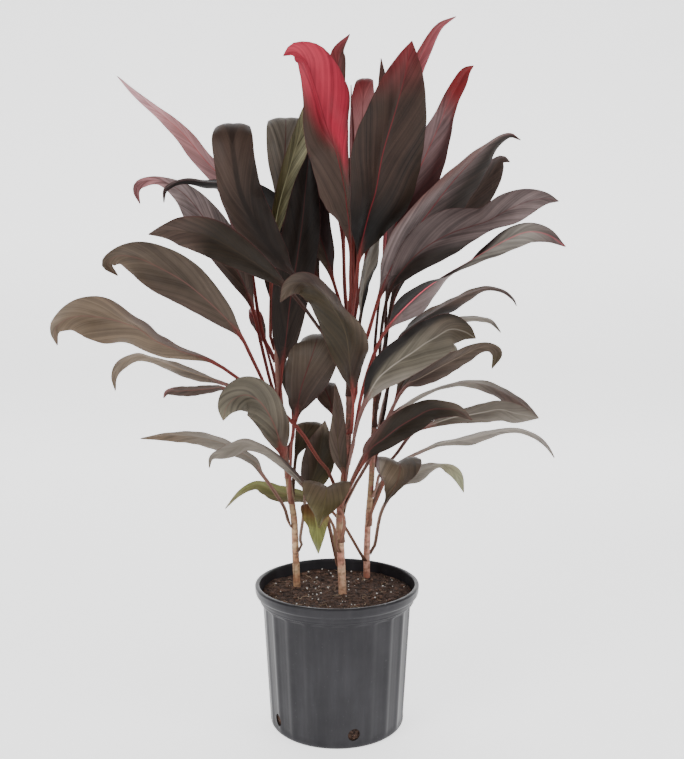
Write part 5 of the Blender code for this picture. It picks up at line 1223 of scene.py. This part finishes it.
def soil_spot(draw, reach):
    """A place on the soil, evenly drawn: its distance from the middle, x and y."""
    r, angle = reach * math.sqrt(draw.random()), draw.uniform(0, 2 * math.pi)
    return r, *round_axis(r, angle)


def icosphere():
    form = bmesh.new()
    bmesh.ops.create_icosphere(form, subdivisions=2, radius=1)
    points = [tuple(v.co) for v in form.verts]
    faces = [[v.index for v in f.verts] for f in form.faces]
    form.free()
    return points, faces


PEBBLE = icosphere()


def pebble_points(draw, centre, size, flatness, turn):
    """A small lump: the corners of an icosphere, pushed about, flattened and turned."""
    c, s = math.cos(turn), math.sin(turn)
    points = []
    for x, y, z in PEBBLE[0]:
        push = 1 + draw.uniform(-0.28, 0.28)
        x, y, z = x * size * push, y * size * push * 0.7, z * size * push * flatness
        points.append((centre[0] + x * c - y * s, centre[1] + x * s + y * c, centre[2] + z))
    return points


def scattered(name, count, sizes, flatness, material, smoothed):
    """Many lumps lying on the soil, as one piece."""
    draw = random.Random(name)
    points, faces, shades = [], [], []
    reach = SOIL_RADIUS - 0.004
    while len(points) < count * len(PEBBLE[0]):
        r, x, y = soil_spot(draw, reach)
        size = draw.uniform(*sizes)
        if near_stem(x, y, size + 0.001) or r + size > reach + 0.002:
            continue
        z = soil_height(x, y) + size * flatness * (1 - 2 * LUMP_SINK)
        first = len(points)
        points += pebble_points(draw, (x, y, z), size, flatness, draw.uniform(0, 6.28))
        faces += [[first + i for i in face] for face in PEBBLE[1]]
        shades += [draw.random()] * len(PEBBLE[0])
    obj = mesh_object(name, points, faces, [material])
    if not smoothed:
        obj.data.shade_flat()
    point_values(obj.data, "shade", shades)
    return finished(obj, "potting_mix")


def rootlet_points(draw, reach):
    """Rings of points along one curled rootlet, up to where it meets the pot or a stem."""
    _, x, y = soil_spot(draw, reach)
    heading, curl = draw.uniform(0, 2 * math.pi), draw.uniform(-0.35, 0.35)
    thick = draw.uniform(*ROOTLET_RADII)
    points = []
    for i in range(draw.randint(5, 12)):
        x, y = x + ROOTLET_STEP * math.cos(heading), y + ROOTLET_STEP * math.sin(heading)
        heading += curl + draw.uniform(-0.4, 0.4)
        if math.hypot(x, y) > reach or near_stem(x, y, 0.002):
            break
        z = soil_height(x, y) + 0.0007 + 0.0006 * math.sin(2.1 * i)
        for angle in angles(ROOTLET_SIDES):
            out, up = thick * math.cos(angle), thick * math.sin(angle)
            points.append((x - out * math.sin(heading), y + out * math.cos(heading), z + up))
    return points


def make_rootlets():
    """Thin root hairs that lie curled on the soil."""
    draw = random.Random("rootlets")
    points, faces = [], []
    for _ in range(ROOTLETS):
        more = rootlet_points(draw, SOIL_RADIUS - 0.006)
        rings = len(more) // ROOTLET_SIDES
        if rings > 1:
            faces += tube_faces(rings, ROOTLET_SIDES, len(points))
            points += more
    return finished(mesh_object("rootlets", points, faces, [rootlet_material()]), "potting_mix")


def rootlet_material():
    material, tree, shader = new_material("rootlets")
    patches = cloud(tree, 60.0, 2.0)
    colour = layered(tree, srgb(104, 80, 62), (patches, 0.35, 0.65, 1, srgb(168, 146, 120)))
    dress(tree, shader, colour, 0.8)
    return material


def bark_material():
    material, tree, shader = new_material("bark_chips")
    fibre = cloud(tree, 420.0)
    colour = blended(tree, read(tree, "shade"), srgb(36, 26, 22), srgb(104, 77, 63))
    colour = layered(tree, colour, (fibre, 0.45, 0.8, 0.4, srgb(122, 96, 74)))
    dress(tree, shader, colour, 0.88)
    bumped(tree, shader, fibre, 0.0006, 0.8)
    return material


def perlite_material():
    material, tree, shader = new_material("perlite")
    pores = cloud(tree, 1500.0, 2.0)
    colour = blended(tree, read(tree, "shade"), srgb(196, 188, 178), srgb(238, 236, 232))
    colour = layered(tree, colour, (pores, 0.55, 0.75, 0.4, srgb(150, 138, 126)))
    dress(tree, shader, colour, 0.9)
    bumped(tree, shader, pores, 0.0003, 0.7)
    return material


# Canes

def cane_scars(name, length):
    """The stem's ring scars: how far up each lies, which way it slants and how strong it is."""
    draw = random.Random(name + " scars")
    scars, at = [], FIRST_SCAR
    while at < length:
        scars.append((at, draw.uniform(0, 6.28), draw.uniform(0.5, 1)))
        at += draw.uniform(*SCAR_STEPS)
    return scars


def scar_mark(scars, along, angle):
    """How strongly a scar shows here, from 0 to 1."""
    mark = 0
    for place, turn, strength in scars:
        off = along - (place + SCAR_SLANT * math.cos(angle - turn))
        mark = max(mark, strength * math.exp(-(off / SCAR_HALF_WIDTH) ** 2))
    return mark


def make_cane(cane):
    """A stem with ring scars, rough bark and a flat cut under the soil."""
    shares = np.linspace(0, 1, CANE_RINGS)
    centres = smooth_route(cane.route, shares)[0]
    length = np.linalg.norm(np.diff(centres, axis=0), axis=1).sum()
    scars = cane_scars(cane.name, length)
    points, marks = [], []
    for i, (centre, share) in enumerate(zip(centres, shares)):
        before, after = centres[max(0, i - 1)], centres[min(CANE_RINGS - 1, i + 1)]
        tangent = unit(after - before)
        front = unit(np.array([0, -1.0, 0]) + tangent * tangent[1])
        aside = np.cross(tangent, front)
        radius = cane.foot_radius + (cane.top_radius - cane.foot_radius) * share
        near = [scar for scar in scars if abs(scar[0] - share * length) < SCAR_REACH]
        for angle in angles(CANE_SIDES):
            marks.append(scar_mark(near, share * length, angle))
            grain = noise.noise(Vector((angle * 1.3, share * 40, cane.foot_radius * 900)))
            reach = radius * BARK_SHARE + SCAR_RISE * marks[-1] + BARK_GRAIN * grain
            points.append(centre + reach * (math.cos(angle) * front + math.sin(angle) * aside))
    obj = mesh_object(cane.name.replace("cane_", "stem_"), points, tube_faces(CANE_RINGS, CANE_SIDES),
                      [cane_material(cane.name)])
    point_values(obj.data, "scar", marks)
    point_values(obj.data, "height", [p[2] for p in points])
    return finished(obj, "cane_bark", cane.name)


# each cane's bare and flushed bark
CANE_TINTS = {
    "cane_left": (srgb(226, 190, 148), srgb(196, 144, 108)),
    "cane_middle": (srgb(226, 184, 150), srgb(198, 132, 112)),
    "cane_right": (srgb(220, 166, 144), srgb(186, 112, 98)),
}


def cane_material(name):
    """Bark that is pale low down and redder higher up, darker at the soil and in its scars."""
    material, tree, shader = new_material(name + "_bark")
    height = read(tree, "height")
    patches = cloud(tree, 45.0)
    blotches = cloud(tree, 130.0, 2.0)
    fibre = drawn_cloud(tree, 520.0, 60.0)
    bare, flushed = CANE_TINTS[name]
    colour = layered(tree, bare,
                     (patches, 0.4, 0.6, 1, flushed),
                     (blotches, 0.5, 0.62, 0.55, srgb(126, 84, 66)),
                     (height, 0.27, 0.36, 1, srgb(138, 112, 80)),
                     (height, 0.36, 0.44, 1, srgb(104, 66, 56)))
    red_patches = times(tree, step(tree, patches, 0.5, 0.62), step(tree, height, 0.28, 0.36))
    colour = blended(tree, red_patches, colour, srgb(150, 88, 76))
    colour = blended(tree, step(tree, height, 0.205, 0.235, 0.6, 0.0), colour, srgb(150, 92, 66))
    colour = layered(tree, colour, (fibre, 0.5, 0.8, 0.45, srgb(108, 82, 60)))
    colour = blended(tree, times(tree, read(tree, "scar"), 0.75), colour, srgb(88, 62, 50))
    dress(tree, shader, colour, 0.66)
    bumped(tree, shader, fibre, 0.0004, 0.7)
    return material


# Studio
FLOOR_HALF_WIDTH = 6
# the floor's line from before the plant to the top of the wall, as places along y and heights
FLOOR_PROFILE = ((-3.5, 0), (2.2, 0), (2.6, 0.03), (2.95, 0.12), (3.25, 0.3), (3.45, 0.6), (3.5, 1.0),
                 (3.5, 6))
# name, place, the point it looks at, size and power
LIGHTS = (("key", (-1.9, -1.9, 2.2), (0, 0, 0.7), (1.3, 1.3), 42),
          ("fill", (2.2, -1.3, 1.5), (0, 0, 0.6), (1.0, 1.8), 26),
          ("front", (0.4, -3.2, 1.4), (0, 0, 0.5), (1.6, 1.2), 22))
ROOM_LIGHT = 0.22
STAGE_GLOW = 1.5
WHITE = (1, 1, 1, 1)


def make_floor():
    """A pale sweep: a floor that curves up into a wall far behind."""
    n = len(FLOOR_PROFILE)
    points = [(x, y, z) for x in (-FLOOR_HALF_WIDTH, FLOOR_HALF_WIDTH) for y, z in FLOOR_PROFILE]
    faces = [(i, i + 1, n + i + 1, n + i) for i in range(n - 1)]
    mesh_object("floor", points, faces, [floor_material()], closed=False)


def floor_material():
    """Nearly white. It glows a little, like a lit white table."""
    material, tree, shader = new_material("floor")
    colour = blended(tree, cloud(tree, 3.0, 2.0), srgb(246, 246, 247), srgb(251, 251, 252))
    dress(tree, shader, colour, 0.7)
    shader.inputs["Emission Color"].default_value = WHITE
    shader.inputs["Emission Strength"].default_value = STAGE_GLOW
    return material


def area_light(name, place, target, size, power):
    data = bpy.data.lights.new(name, "AREA")
    data.shape = "RECTANGLE"
    data.size, data.size_y = size
    data.energy = power
    light = add_object(name, data)
    light.location = place
    light.rotation_euler = (Vector(target) - Vector(place)).to_track_quat("-Z", "Y").to_euler()


def make_lights():
    for light in LIGHTS:
        area_light(*light)
    world = bpy.data.worlds.new("studio")
    world.use_nodes = True
    background = world.node_tree.nodes["Background"]
    background.inputs["Color"].default_value = WHITE
    background.inputs["Strength"].default_value = ROOM_LIGHT
    bpy.context.scene.world = world


def make_camera():
    data = bpy.data.cameras.new("camera")
    data.lens = CAMERA_LENS
    camera = add_object("camera", data)
    camera.location = EYE
    camera.rotation_euler = (math.pi / 2 - CAMERA_PITCH, 0, 0)
    bpy.context.scene.camera = camera


def main():
    make_camera()
    make_lights()
    make_floor()
    make_pot()
    make_soil()
    scattered("bark_chips", BARK_CHIPS, BARK_SIZES, 0.5, bark_material(), False)
    scattered("perlite", PERLITE_LUMPS, PERLITE_SIZES, 0.8, perlite_material(), True)
    make_rootlets()
    for cane in CANES:
        make_cane(cane)
    materials = leaf_materials()
    for number, one in enumerate(LEAVES):
        make_leaf(one, number, materials)


main()
